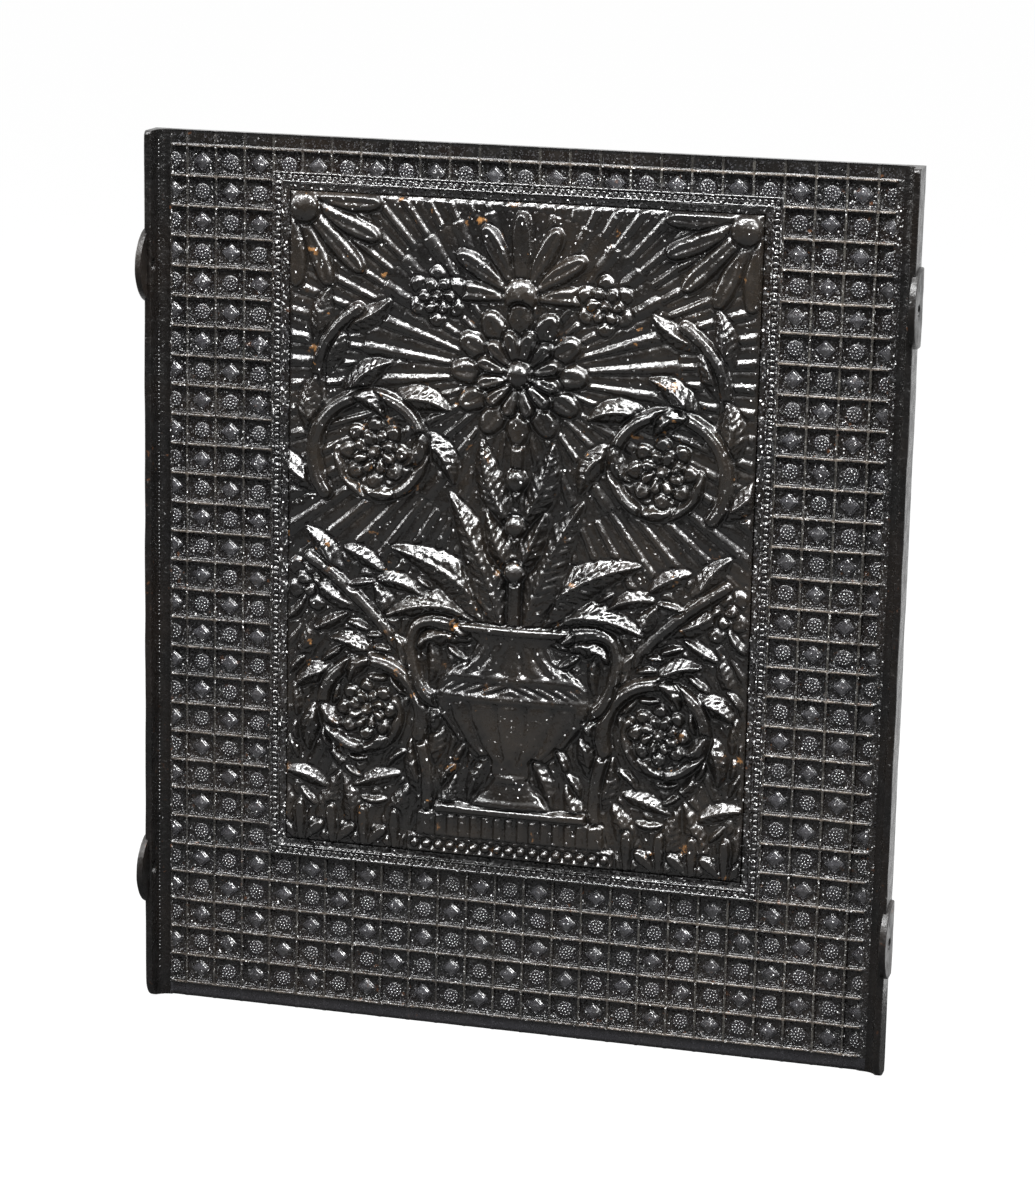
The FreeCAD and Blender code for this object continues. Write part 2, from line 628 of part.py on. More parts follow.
def relief_panel():
    rim_inset = SEAT_CLEARANCE + MOULDING_WIDTH + PANEL_CLEARANCE
    half_rim = SEAT_WIDTH / 2 - rim_inset
    rim = block(-half_rim, half_rim, SEAT_Y - RIM_THICKNESS, SEAT_Y,
                SEAT_BOTTOM + rim_inset, SEAT_TOP - rim_inset)
    field = bar(FIELD_HALF_WIDTH, FIELD_BOTTOM, FIELD_TOP, SEAT_Y, FIELD_Y, FIELD_BEVEL)
    forms = [bar(half, low, high, FIELD_Y + OVERLAP, FIELD_Y - rise, PLINTH_BEVEL)
             for half, low, high, rise in PLINTH_STEPS]
    forms.append(urn())
    forms.append(stem([(0.0, URN_LEVELS[-1] - PLINTH_BEVEL), (0.0, CROWN_HEIGHT)]))
    forms.append(flower(0.0, CROWN_HEIGHT, CROWN_RADIUS, CROWN_PETALS))
    forms.extend(fan(0.0, PALMETTE_HEIGHT, 90.0, PALMETTE_SPREAD, PALMETTE_LOBES, PALMETTE_LENGTH))
    half = right_half()
    forms.extend(half)
    forms.extend(on_side(-1, form) for form in half)
    window = block(-FIELD_HALF_WIDTH, FIELD_HALF_WIDTH, LUG_NOSE_Y, SEAT_Y, FIELD_BOTTOM, FIELD_TOP)
    ornament = [form.translated(vec(0, 0, FIELD_BOTTOM)).common(window) for form in forms]
    return rim.fuse([field] + ornament).removeSplitter().translated(vec(PANEL_X, 0, 0))


def save(name, shape):
    shape.exportStep("parts/" + name + ".step")
    print(name, len(shape.Solids), "solid(s), valid", shape.isValid(),
          "volume", round(shape.Volume), "box", shape.BoundBox)


save("back_plate", back_plate())
save("relief_panel", relief_panel())
save("bead_frame", bead_frame())
for name, (side, height) in LUGS.items():
    save(name, on_side(side, lug().translated(vec(0, 0, height))))
save("lug_rivets", lug_rivets())
save("frame_screws", frame_screws())
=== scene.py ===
import math

import bpy
import numpy as np
from mathutils import Matrix, Vector

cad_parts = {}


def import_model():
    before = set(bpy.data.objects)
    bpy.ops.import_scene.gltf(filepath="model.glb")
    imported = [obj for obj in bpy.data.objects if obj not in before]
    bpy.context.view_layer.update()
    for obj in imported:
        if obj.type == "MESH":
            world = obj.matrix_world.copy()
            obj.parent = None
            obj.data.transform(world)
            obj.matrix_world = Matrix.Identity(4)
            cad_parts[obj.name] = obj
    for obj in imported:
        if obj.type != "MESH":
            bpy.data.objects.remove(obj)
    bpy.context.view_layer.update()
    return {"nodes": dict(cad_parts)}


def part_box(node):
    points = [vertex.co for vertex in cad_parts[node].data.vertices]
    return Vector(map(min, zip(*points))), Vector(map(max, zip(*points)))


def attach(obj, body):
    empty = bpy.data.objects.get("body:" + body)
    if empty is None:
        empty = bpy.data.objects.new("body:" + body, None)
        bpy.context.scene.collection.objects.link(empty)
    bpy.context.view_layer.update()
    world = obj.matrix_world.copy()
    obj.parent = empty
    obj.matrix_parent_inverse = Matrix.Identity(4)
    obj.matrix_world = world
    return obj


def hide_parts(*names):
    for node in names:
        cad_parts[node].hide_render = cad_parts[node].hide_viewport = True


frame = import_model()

# Cast-iron fireback.  Lengths in this script are millimetres in the row frame, and MM turns them
# into metres where a mesh is made.  X runs to the viewer's right, +Y away from the viewer, +Z up.
MM = 0.001
BODY = "root"


# ---- sizes, taken from the frame where it gives them ----
def node_box(node):
    low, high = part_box(node)
    return [value / MM for value in low], [value / MM for value in high]


FIXING_SPAN = 14.0          # no two corners of one rivet or screw lie this far apart


def solid_boxes(node):
    """Middle, low and high corner of each separate rivet or screw of a node."""
    points = np.array([vertex.co for vertex in frame["nodes"][node].data.vertices]) / MM
    found = []
    while len(points):
        near = np.linalg.norm(points - points[0], axis=1) < FIXING_SPAN
        low, high = points[near].min(axis=0), points[near].max(axis=0)
        found.append(((low + high) / 2, low, high))
        points = points[~near]
    return found


PLATE_LOW, PLATE_HIGH = node_box("back_plate")
FRAME_LOW, FRAME_HIGH = node_box("bead_frame")

WIDTH_HALF = PLATE_HIGH[0]
HEIGHT = PLATE_HIGH[2]
BACK_Y = PLATE_HIGH[1]
FLANGE_FRONT_Y = PLATE_LOW[1]
THICKNESS = 8.0
FACE_Y = BACK_Y - THICKNESS
FLANGE_THICKNESS = 5.5
FLANGE_FOOT_RADIUS = 18.0
FLANGE_HEAD_RADIUS = 4.0
COVE_RADIUS = 9.0
EDGE_ROUND = 1.3
INNER_X = WIDTH_HALF - FLANGE_THICKNESS
COVE_FOOT_X = INNER_X - COVE_RADIUS

CELL = 23.4
LATTICE_SHIFT = -2.6
FIRST_RIB = 11.7
ROWS = 29
HALF_COLUMNS = 12
STRIP_X = COVE_FOOT_X - 1.0 - abs(LATTICE_SHIFT)
POCKET_DEPTH = 3.0
FLOOR_Y = FACE_Y + POCKET_DEPTH
END_BAND_DEPTH = 1.4
RIB_CROWN = 0.7             # half-width of a rib's rubbed top
RIB_FOOT = 1.9              # from a rib's middle to where its slope meets the floor
# DIAMOND_STEPS, ROSETTE_DISC and GRAIN are rings: share of the size, rise above the pockets' floor.
DIAMOND_REACH = 7.9
DIAMOND_STEPS = ((1.02, -0.5), (1.0, 0.0), (0.87, 0.85), (0.82, 0.8), (0.77, 0.5), (0.65, 1.3),
                 (0.4, 1.7), (0.04, 2.3))
ROSETTE_REACH = 6.4
ROSETTE_DISC = ((1.0, -0.5), (0.98, 0.0), (0.88, 0.65), (0.04, 0.55))
# The rings of beads on a rosette: count, radius of the ring, radius of a bead, rise.
ROSETTE_BEADS = ((13, 5.1, 0.85, 1.0), (7, 2.75, 1.1, 1.3), (1, 0.0, 1.2, 1.8))
GRAIN = ((1.15, -0.3), (0.85, 0.3), (0.45, 0.62), (0.05, 0.72))
BEADED_X = STRIP_X - 1.5    # casting beads lie no further out than this from the lattice's middle

MOULDING_WIDTH = 8.2
FILLET_WIDTH = 1.8
BEAD_WIDTH = 4.6
BEAD_PITCH = 4.6
FRAME_RISE = 5.2
BEAD_BED = 3.9
LIP_WIDTH = 5.2
FRAME_LAP = 2.5             # how far the lattice's mesh runs in under the frame
SEAT_Y = FRAME_HIGH[1]
FIELD_Y = SEAT_Y - 4.0
FIELD_INSET = MOULDING_WIDTH + LIP_WIDTH + 0.8
PANEL_X = (FRAME_LOW[0] + FRAME_HIGH[0]) / 2
FIELD_HALF = (FRAME_HIGH[0] - FRAME_LOW[0]) / 2 - FIELD_INSET
FIELD_FOOT = FRAME_LOW[2] + FIELD_INSET
FIELD_TALL = FRAME_HIGH[2] - FRAME_LOW[2] - 2 * FIELD_INSET

LUGS = ("upper_left_lug", "lower_left_lug", "upper_right_lug", "lower_right_lug")
BOLT_Y = -1.0
BOLT_RADIUS = 4.5
RIVET_HEAD = 3.75           # radii
RIVET_SINK = 1.6
SHANK = 2.0
SCREW_HEAD = 4.0
SCREW_SINK = 2.0
SLOT_DEPTH = 1.0
SLOT_HALF = 0.6


# ---- smooth random fields, seeded, so that the casting is a little uneven everywhere ----
NOISE_CELLS = 256
NOISE_TABLE = np.random.default_rng(11).random((NOISE_CELLS, NOISE_CELLS)) * 2 - 1
NOISE_SHIFTS = (37.7, 91.3)     # how far the table is moved for each next field


def noise(x, z, size, field=0):
    """Smooth values between about -1 and 1 that change over the given size; each field differs."""
    sides = []
    for place, shift in zip((x, z), NOISE_SHIFTS):
        place = np.asarray(place) / size + shift * field
        low = np.floor(place).astype(int)
        part = place - low
        sides.append((low % NOISE_CELLS, (low + 1) % NOISE_CELLS, part * part * (3 - 2 * part)))
    (i0, i1, a), (j0, j1, b) = sides
    low = NOISE_TABLE[i0, j0] * (1 - a) + NOISE_TABLE[i1, j0] * a
    high = NOISE_TABLE[i0, j1] * (1 - a) + NOISE_TABLE[i1, j1] * a
    return low * (1 - b) + high * b


def ease(value):
    value = np.clip(value, 0.0, 1.0)
    return value * value * (3 - 2 * value)


# ---- meshes ----
def mesh_piece(name, points, faces, material, node, smooth=True):
    """Piece from points in millimetres and faces, as arrays of equal-sided faces or lists of corners."""
    mesh = bpy.data.meshes.new(name)
    mesh.vertices.add(len(points))
    mesh.vertices.foreach_set("co", (np.asarray(points, dtype=np.float64) * MM).ravel())
    corners = []
    starts = []
    count = 0
    for group in faces:
        group = np.atleast_2d(group)
        corners.append(group.ravel())
        starts.append(count + np.arange(len(group)) * group.shape[1])
        count += group.size
    corners = np.concatenate(corners)
    starts = np.concatenate(starts)
    mesh.loops.add(len(corners))
    mesh.loops.foreach_set("vertex_index", corners.astype(np.int32))
    mesh.polygons.add(len(starts))
    mesh.polygons.foreach_set("loop_start", starts.astype(np.int32))
    mesh.update(calc_edges=True)
    mesh.validate()
    mesh.polygons.foreach_set("use_smooth", np.full(len(mesh.polygons), smooth))
    mesh.materials.append(material)
    piece = bpy.data.objects.new(name, mesh)
    bpy.context.scene.collection.objects.link(piece)
    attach(piece, BODY)
    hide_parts(node)
    return piece


def grid_quads(rows, columns, closed=False):
    """Faces of a grid whose points are numbered row by row; closed joins the last column to the first."""
    i, j = np.meshgrid(np.arange(rows - 1), np.arange(columns if closed else columns - 1), indexing="ij")
    after = (j + 1) % columns
    quads = np.stack([i * columns + j, i * columns + after, (i + 1) * columns + after,
                      (i + 1) * columns + j], axis=-1)
    return quads.reshape(-1, 4)


def joined(parts):
    """One mesh's points and faces from the points and faces of several."""
    starts = np.cumsum([0] + [len(points) for points, faces in parts])
    return (np.concatenate([points for points, faces in parts]),
            np.concatenate([faces + start for (points, faces), start in zip(parts, starts)]))


def stamped(points, quads, places, turns):
    """Copies of one small mesh at many (x, z) places, each with its turn, joined."""
    copies = []
    for (x, z), turn in zip(places, turns):
        c, s = math.cos(turn), math.sin(turn)
        copies.append((np.column_stack([points[:, 0] * c - points[:, 2] * s + x, points[:, 1],
                                        points[:, 0] * s + points[:, 2] * c + z]), quads))
    return joined(copies)


def circle(around):
    """Angles evenly round a full turn."""
    return 2 * math.pi * np.arange(around) / around


def ovals(shells, around, half_x, half_z, x=0.0, z=0.0, base=FLOOR_Y):
    """Points and faces of a low form: an oval ring for each (share of its size, rise above its base)."""
    turn = circle(around)
    rings = [np.column_stack([x + half_x * share * np.cos(turn), np.full(around, base - rise),
                              z + half_z * share * np.sin(turn)]) for share, rise in shells]
    return np.concatenate(rings), grid_quads(len(shells), around, closed=True)


# ---- materials ----
class Nodes:
    """Short way to build the node tree of a material or of the world."""

    def __init__(self, owner, output):
        self.owner = owner
        owner.use_nodes = True
        self.tree = owner.node_tree
        self.tree.nodes.clear()
        self.surface = self.add(output).inputs["Surface"]
        self.coordinates = self.add("ShaderNodeTexCoord").outputs
        self.place = self.coordinates["Object"]

    def add(self, kind, *inputs, **settings):
        """New node with its settings, its first inputs set to values or linked to other nodes."""
        node = self.tree.nodes.new(kind)
        for key, value in settings.items():
            setattr(node, key, value)
        for value, socket in zip(inputs, node.inputs):
            self.put(value, socket)
        return node

    def put(self, value, socket):
        if isinstance(value, bpy.types.NodeSocket):
            self.tree.links.new(value, socket)
        else:
            socket.default_value = value

    def math(self, operation, *values):
        return self.add("ShaderNodeMath", *values, operation=operation).outputs[0]

    def times(self, a, b):
        return self.math("MULTIPLY", a, b)

    def noise(self, size, detail=2.0, roughness=0.5):
        """Cloudy values of the given size in millimetres."""
        node = self.add("ShaderNodeTexNoise", self.place)
        for name, value in (("Scale", 1 / (size * MM)), ("Detail", detail), ("Roughness", roughness)):
            node.inputs[name].default_value = value
        return node.outputs["Fac"]

    def ramp(self, value, low, high, out_low=0.0, out_high=1.0):
        return self.add("ShaderNodeMapRange", value, low, high, out_low, out_high,
                        interpolation_type="SMOOTHSTEP").outputs["Result"]

    def patches(self, size, low, high, out_low=0.0, out_high=1.0, **kind):
        """Cloudy patches that go from one value to the other between two levels of the noise."""
        return self.ramp(self.noise(size, **kind), low, high, out_low, out_high)

    def mix(self, factor, a, b):
        node = self.add("ShaderNodeMix", factor, data_type="RGBA")
        for value, socket in ((a, node.inputs[6]), (b, node.inputs[7])):
            self.put((*value, 1.0) if isinstance(value, tuple) else value, socket)
        return node.outputs[2]


BLACK = (0.006, 0.0057, 0.0055)
BROWN_BLACK = (0.014, 0.0105, 0.008)
FLANGE_BROWN = (0.01, 0.0075, 0.006)
PANEL_BLACK = (0.007, 0.0064, 0.006)
PANEL_BROWN = (0.024, 0.019, 0.0145)
BAND_BLACK = (0.028, 0.028, 0.034)
WORN_TAN = (0.175, 0.145, 0.118)
WORN_GREY = (0.08, 0.076, 0.068)
RUST = (0.2, 0.075, 0.025)
OCHRE = (0.5, 0.24, 0.08)
# pale grey painted on small random cells as glints of light
PAINTED_GLINT_GREY = (0.16, 0.16, 0.175)
# burnished bluish grey, which also stands in for a painted sheen on the studs and beads
BURNISHED_SHEEN_GREY = (0.09, 0.09, 0.1)
TILT_MIDDLE = (0.5, 0.5, 0.28)      # the facets' tilt leans to the upper side, which the light strikes


def rib_wear(n, colour, amount, worn):
    """What belongs to the lattice alone: rubbed rib tops, painted paler toward the right where more light
    falls, and darker, smoother bands at its ends.
    """
    x, y, z = n.add("ShaderNodeSeparateXYZ", n.place).outputs

    def between(value, start, end, low=0.0, high=1.0):
        return n.ramp(value, start * MM, end * MM, low, high)

    off_centre = n.math("ABSOLUTE", n.math("SUBTRACT", x, LATTICE_SHIFT * MM))
    crown = between(y, FACE_Y + 0.7, FACE_Y + 0.3)
    crown = n.times(crown, between(off_centre, STRIP_X + 0.6, STRIP_X - 0.4))
    crown = n.times(crown, n.patches(7.0, 0.38, 0.62, 0.2, worn, detail=4.0, roughness=0.65))
    # painted light: the rubbed tops are painted paler toward the right, where more light falls
    crown = n.times(crown, between(x, -100.0, 260.0, 0.55, 1.0))
    up_cell = n.math("DIVIDE", n.math("SUBTRACT", z, FIRST_RIB * MM), CELL * MM)
    up_cell = n.math("ABSOLUTE", n.math("SUBTRACT", n.math("FRACT", n.math("ADD", up_cell, 0.5)), 0.5))
    lying = n.ramp(up_cell, 1.4 / CELL, 0.9 / CELL)
    colour = n.mix(crown, colour, n.mix(lying, WORN_GREY, WORN_TAN))
    foot = between(z, FIRST_RIB - 0.6, FIRST_RIB - 1.4)
    colour = n.mix(n.times(foot, 0.6), colour, BAND_BLACK)
    top_rib = FIRST_RIB + ROWS * CELL
    ends = n.math("MAXIMUM", foot, between(z, top_rib + 0.6, top_rib + 1.4))
    return colour, n.times(amount, n.math("SUBTRACT", 1.0, n.times(ends, 0.75)))


def iron(name, burnish_and_sheen=0.0, rust=0.5, painted_glints=0.3, gloss=0.26, ior=1.8, grain=0.5, grain_size=1.3,
         lively=0.4, swell=0.5, crust=0.0, base=BLACK, stain=BROWN_BLACK, worn=0.0, spot=RUST,
         spot_size=6.0):
    """Blackened cast iron under a glossy coat: brown and rust in places, pale specks painted in as glints, a
    crusty grain.

    burnish_and_sheen pales the whole surface to a burnished grey that also stands in for a painted sheen,
    painted_glints is how much pale grey is painted on as glints, grain is how far the small facets of the
    coat tilt, lively the share of them that tilt far, crust a fine unevenness that breaks highlights up.
    base and stain are the coat's two blacks, spot its flecks' colour, and worn says how pale the lattice's
    rubbed rib tops are, which are also painted paler toward the right as light.
    """
    n = Nodes(bpy.data.materials.new(name), "ShaderNodeOutputMaterial")
    shader = n.add("ShaderNodeBsdfPrincipled")
    colour = n.mix(n.patches(70.0, 0.35, 0.7, detail=4.0), base, stain)
    # burnished grey in patches, partly real rubbing and partly a painted sheen
    colour = n.mix(n.patches(9.0, 0.3, 0.7, 0.4 * burnish_and_sheen, burnish_and_sheen), colour, BURNISHED_SHEEN_GREY)
    facets = n.add("ShaderNodeTexVoronoi", n.place)
    facets.inputs["Scale"].default_value = 1 / (grain_size * MM)
    pale = n.add("ShaderNodeSeparateColor", facets.outputs["Color"]).outputs[0]
    # painted glints: a few random small cells of the coat are painted pale grey, standing in for sparkle of
    # light
    colour = n.mix(n.ramp(pale, 0.8, 0.95, 0.0, painted_glints), colour, PAINTED_GLINT_GREY)
    spots = n.patches(spot_size, 0.64, 0.72, detail=3.0, roughness=0.6)
    spots = n.times(spots, n.patches(45.0, 0.48, 0.62))
    colour = n.mix(n.times(spots, rust), colour, spot)
    amount = n.patches(30.0, 0.35, 0.65, grain * 0.7, grain * 1.3, detail=3.0)
    chance = n.add("ShaderNodeTexWhiteNoise", facets.outputs["Position"]).outputs["Value"]
    amount = n.times(amount, n.ramp(chance, 1 - lively, 1 - lively / 3, 0.3, 2.6))
    if worn:
        colour, amount = rib_wear(n, colour, amount, worn)
    n.put(colour, shader.inputs["Base Color"])
    shader.inputs["IOR"].default_value = ior
    n.put(n.patches(12.0, 0.3, 0.7, gloss - 0.06, gloss + 0.12, detail=3.0), shader.inputs["Roughness"])
    height = n.math("MULTIPLY_ADD", n.noise(1.5, roughness=0.6), crust, n.noise(5.0))
    bump = n.add("ShaderNodeBump")
    for name, value in (("Height", height), ("Distance", MM), ("Strength", swell)):
        n.put(value, bump.inputs[name])
    tilt = n.add("ShaderNodeVectorMath", facets.outputs["Color"], TILT_MIDDLE, operation="SUBTRACT")
    scaled = n.add("ShaderNodeVectorMath", tilt.outputs[0], operation="SCALE")
    n.put(amount, scaled.inputs["Scale"])
    total = n.add("ShaderNodeVectorMath", bump.outputs["Normal"], scaled.outputs[0], operation="ADD")
    unit = n.add("ShaderNodeVectorMath", total.outputs[0], operation="NORMALIZE")
    n.put(unit.outputs[0], shader.inputs["Normal"])
    n.put(shader.outputs[0], n.surface)
    return n.owner


# ---- back plate: the lattice ----
def rib_lines():
    """Places of the upright ribs' middles and heights of the cross ribs' middles."""
    across = FIRST_RIB + CELL * np.arange(ROWS + 1)
    upright = LATTICE_SHIFT + CELL * (np.arange(-HALF_COLUMNS - 1, HALF_COLUMNS + 1) + 0.5)
    return upright, across


def lines_round(middles, low, high):
    """Grid lines closer together near the ribs, from low to high."""
    offsets = np.array([0.0, 0.55, 0.8, 1.1, 1.5, 1.85, 2.2, 3.4, 6.0, 8.8])
    offsets = np.concatenate([-offsets[:0:-1], offsets, [CELL / 2]])
    lines = (middles[:, None] + offsets[None, :]).ravel()
    lines = np.concatenate([lines[(lines > low + 0.2) & (lines < high - 0.2)], [low, high]])
    return np.unique(np.round(lines, 3))


def slope(distance):
    """0 on a rib's crown, 1 on the floor."""
    share = np.clip((distance - RIB_CROWN) / (RIB_FOOT - RIB_CROWN), 0.0, 1.0)
    return 0.7 * share + 0.3 * ease(share)


def lattice_depth(x, z):
    """How far the lattice's surface lies behind the rib tops."""
    upright, across = rib_lines()
    wander_x = x + 0.22 * noise(x * 0.2, z, 31.0, 1)
    wander_z = z + 0.22 * noise(x, z * 0.2, 31.0, 2)
    to_upright = np.abs((wander_x - upright[0] + CELL / 2) % CELL - CELL / 2)
    nearest = np.clip(np.round((wander_z - across[0]) / CELL), 0, ROWS)
    to_across = np.abs(wander_z - across[0] - nearest * CELL)
    to_strip = ease((STRIP_X - np.abs(x - LATTICE_SHIFT)) / 1.2)
    depth = slope(to_upright) * slope(to_across) * to_strip
    crossing = np.exp(-(to_upright ** 2 + to_across ** 2) / 1.6)
    band = ease((np.maximum(across[0] - z, z - across[-1]) - RIB_CROWN) / (RIB_FOOT - RIB_CROWN))
    least = np.where(z > across[-1], 0.1, 0.55)
    faint = END_BAND_DEPTH * (least + (1 - least) * slope(to_upright)) * to_strip / POCKET_DEPTH
    depth = depth * (1 - band) + faint * band
    uneven = 0.10 * noise(x, z, 5.0, 3) + 0.12 * noise(x, z, 14.0, 4)
    surface = POCKET_DEPTH * depth + uneven + 0.14
    return np.maximum(surface - 0.22 * crossing * (1 + noise(x, z, 24.0, 5)), 0.0)


def under_frame(x, z, lap=0.0):
    """Whether a place lies behind the bead frame or the panel."""
    return ((x > FRAME_LOW[0] + lap) & (x < FRAME_HIGH[0] - lap)
            & (z > FRAME_LOW[2] + lap) & (z < FRAME_HIGH[2] - lap))


def lattice_face(material):
    """The face between the coves with its ribs and pockets, open where the frame sits."""
    upright, across = rib_lines()
    xs = np.concatenate([[-COVE_FOOT_X], lines_round(upright, -COVE_FOOT_X + 0.8, COVE_FOOT_X - 0.8),
                         [COVE_FOOT_X]])
    zs = lines_round(across, 0.0, HEIGHT)
    x, z = np.meshgrid(xs, zs)
    points = np.stack([x, FACE_Y + lattice_depth(x, z), z], axis=-1).reshape(-1, 3)
    columns = len(xs)
    quads = grid_quads(len(zs), columns)
    middle = points[quads].mean(axis=1)
    faces = [quads[~under_frame(middle[:, 0], middle[:, 2], FRAME_LAP)]]
    for row in (0, len(zs) - 1):
        edge = np.arange(columns) + row * columns
        back = points[edge] * (1, 0, 1) + (0, BACK_Y, 0)
        number = len(points) + np.arange(columns)
        faces.append(np.stack([edge[:-1], number[:-1], number[1:], edge[1:]], axis=-1))
        points = np.concatenate([points, back])
    mesh_piece("lattice_face", points, faces, material, "back_plate")


def cells():
    """(kind of stud, x, z) of each cell that holds one: 0 is a rosette, 1 a diamond."""
    found = []
    for column in range(-HALF_COLUMNS, HALF_COLUMNS + 1):
        x = LATTICE_SHIFT + column * CELL
        for row in range(ROWS):
            z = FIRST_RIB + (row + 0.5) * CELL
            if not under_frame(x, z):
                found.append(((column + row) % 2, x, z))
    return found


def diamond_points():
    """Stepped pyramid on a turned square, in separate bands so that its edges stay crisp."""
    around = 16
    turn = circle(around)
    square = DIAMOND_REACH / (np.abs(np.cos(turn)) + np.abs(np.sin(turn)))
    bands = zip(DIAMOND_STEPS[:-1], DIAMOND_STEPS[1:])
    return joined([ovals(band, around, square, square) for band in bands])


def rosette_points():
    """Round flower: a low disc with a ring of beads along its edge, a ring of petals and an eye."""
    parts = [ovals(ROSETTE_DISC, 24, ROSETTE_REACH, ROSETTE_REACH)]
    for count, ring, radius, rise in ROSETTE_BEADS:
        shells = ((1.0, 0.4), (0.72, 0.4 + 0.65 * rise), (0.1, 0.4 + rise))
        for angle in 2 * math.pi * (np.arange(count) + 0.5) / count:
            parts.append(ovals(shells, 7, radius, radius, ring * math.cos(angle), ring * math.sin(angle)))
    return joined(parts)


def grain_points(length, height):
    """Small long bead standing on the pockets' floor."""
    return ovals(GRAIN, 10, length / 2, height / 2)


def rib_grain(material):
    """Rows of casting beads on the floor above each cross rib, and slanting ones at the crossings."""
    chance = np.random.default_rng(21)
    shapes = ((grain_points(0.9, 0.8), [], []), (grain_points(1.9, 0.75), [], []))

    def lay(kind, spot, turn):
        shapes[kind][1].append(spot)
        shapes[kind][2].append(turn)

    def beaded(spot):
        return abs(spot[0] - LATTICE_SHIFT) < BEADED_X

    for _, x, z in cells():
        foot = z - CELL / 2
        for offset in np.arange(-CELL / 2 + 3.4, CELL / 2 - 2.6, 1.9):
            spot = (x + offset + chance.uniform(-0.4, 0.4), foot + 3.1 + chance.uniform(-0.5, 0.5))
            if beaded(spot) and chance.random() < 0.72:
                lay(int(chance.random() < 0.35), spot, chance.uniform(-0.3, 0.3))
        for side, likely in ((-1, 0.7), (1, 0.55)):
            for step in (0, 1):
                spot = (x + side * (CELL / 2 - 2.9 - 1.3 * step), foot + 3.0 + 1.5 * step)
                if beaded(spot) and chance.random() < likely:
                    lay(1, spot, -side * 0.85 + chance.uniform(-0.3, 0.3))
        for _ in range(9):
            spot = (x + chance.uniform(-8.8, 8.8), z + chance.uniform(-8.0, 8.8))
            if max(abs(spot[0] - x), abs(spot[1] - z)) > 7.2 and beaded(spot):
                lay(0, spot, chance.uniform(0, 3))
    for name, (shape, places, turns) in zip(("short_grain", "long_grain"), shapes):
        points, faces = stamped(*shape, places, turns)
        points[:, 1] += 0.1 * noise(points[:, 0], points[:, 2], 5.0, 24)
        mesh_piece(name, points, [faces], material, "back_plate")


def cove_beads(material):
    """Row of casting beads up each cove, near where it meets the flange's wall."""
    chance = np.random.default_rng(8)
    angle = math.radians(30.0)
    x = COVE_FOOT_X + COVE_RADIUS * math.cos(angle)
    set_back = POCKET_DEPTH + COVE_RADIUS * (1 - math.sin(angle)) - 0.1
    places = [(side * x, z) for side in (-1, 1) for z in np.arange(24.0, HEIGHT - 8.0, 3.1)
              if chance.random() < 0.85]
    points, faces = stamped(*grain_points(1.3, 1.7), places, np.zeros(len(places)))
    points[:, 1] -= set_back
    mesh_piece("cove_beads", points, [faces], material, "back_plate")


def studs(rosette_iron, diamond_iron):
    """Every rosette and every diamond, each a little off its place."""
    for name, kind, material, shape in (("rosette_studs", 0, rosette_iron, rosette_points()),
                                        ("diamond_studs", 1, diamond_iron, diamond_points())):
        spots = np.array([(x, z) for found, x, z in cells() if found == kind])
        shift_x, shift_z, turns = (noise(spots[:, 0], spots[:, 1], 3.3, field) for field in (6, 7, 8))
        points, faces = stamped(*shape, spots + 0.25 * np.column_stack([shift_x, shift_z]), 0.06 * turns)
        points[:, 1] += 0.12 * noise(points[:, 0], points[:, 2], 2.4, 9)
        strip = np.abs(points[:, 0] - LATTICE_SHIFT) > STRIP_X - 0.4
        points[strip, 1] = np.maximum(points[strip, 1], FACE_Y + 0.6)
        mesh_piece(name, points, [faces], material, "back_plate")


# ---- back plate: flanges, coves, edges and back ----
def arc(centre_x, centre_y, radius, start, end, steps):
    """Points of an arc; angles in degrees."""
    angles = np.radians(np.linspace(start, end, steps))
    return [(centre_x + radius * math.cos(a), centre_y + radius * math.sin(a)) for a in angles]


def right_profile():
    """Outline of the right-hand flange from the face's end round to the back, seen from above."""
    front = FLANGE_FRONT_Y + EDGE_ROUND
    back = BACK_Y - EDGE_ROUND
    outer = WIDTH_HALF - EDGE_ROUND
    points = arc(COVE_FOOT_X, FACE_Y - COVE_RADIUS, COVE_RADIUS, 90, 0, 9)
    points += [(INNER_X, y) for y in np.linspace(FACE_Y - COVE_RADIUS, front, 5)[1:-1]]
    points += arc(INNER_X + EDGE_ROUND, front, EDGE_ROUND, 180, 270, 5)
    points += arc(outer, front, EDGE_ROUND, 270, 360, 5)
    points += [(WIDTH_HALF, y) for y in np.linspace(front, back, 9)[1:-1]]
    return points + arc(outer, back, EDGE_ROUND, 0, 90, 5)


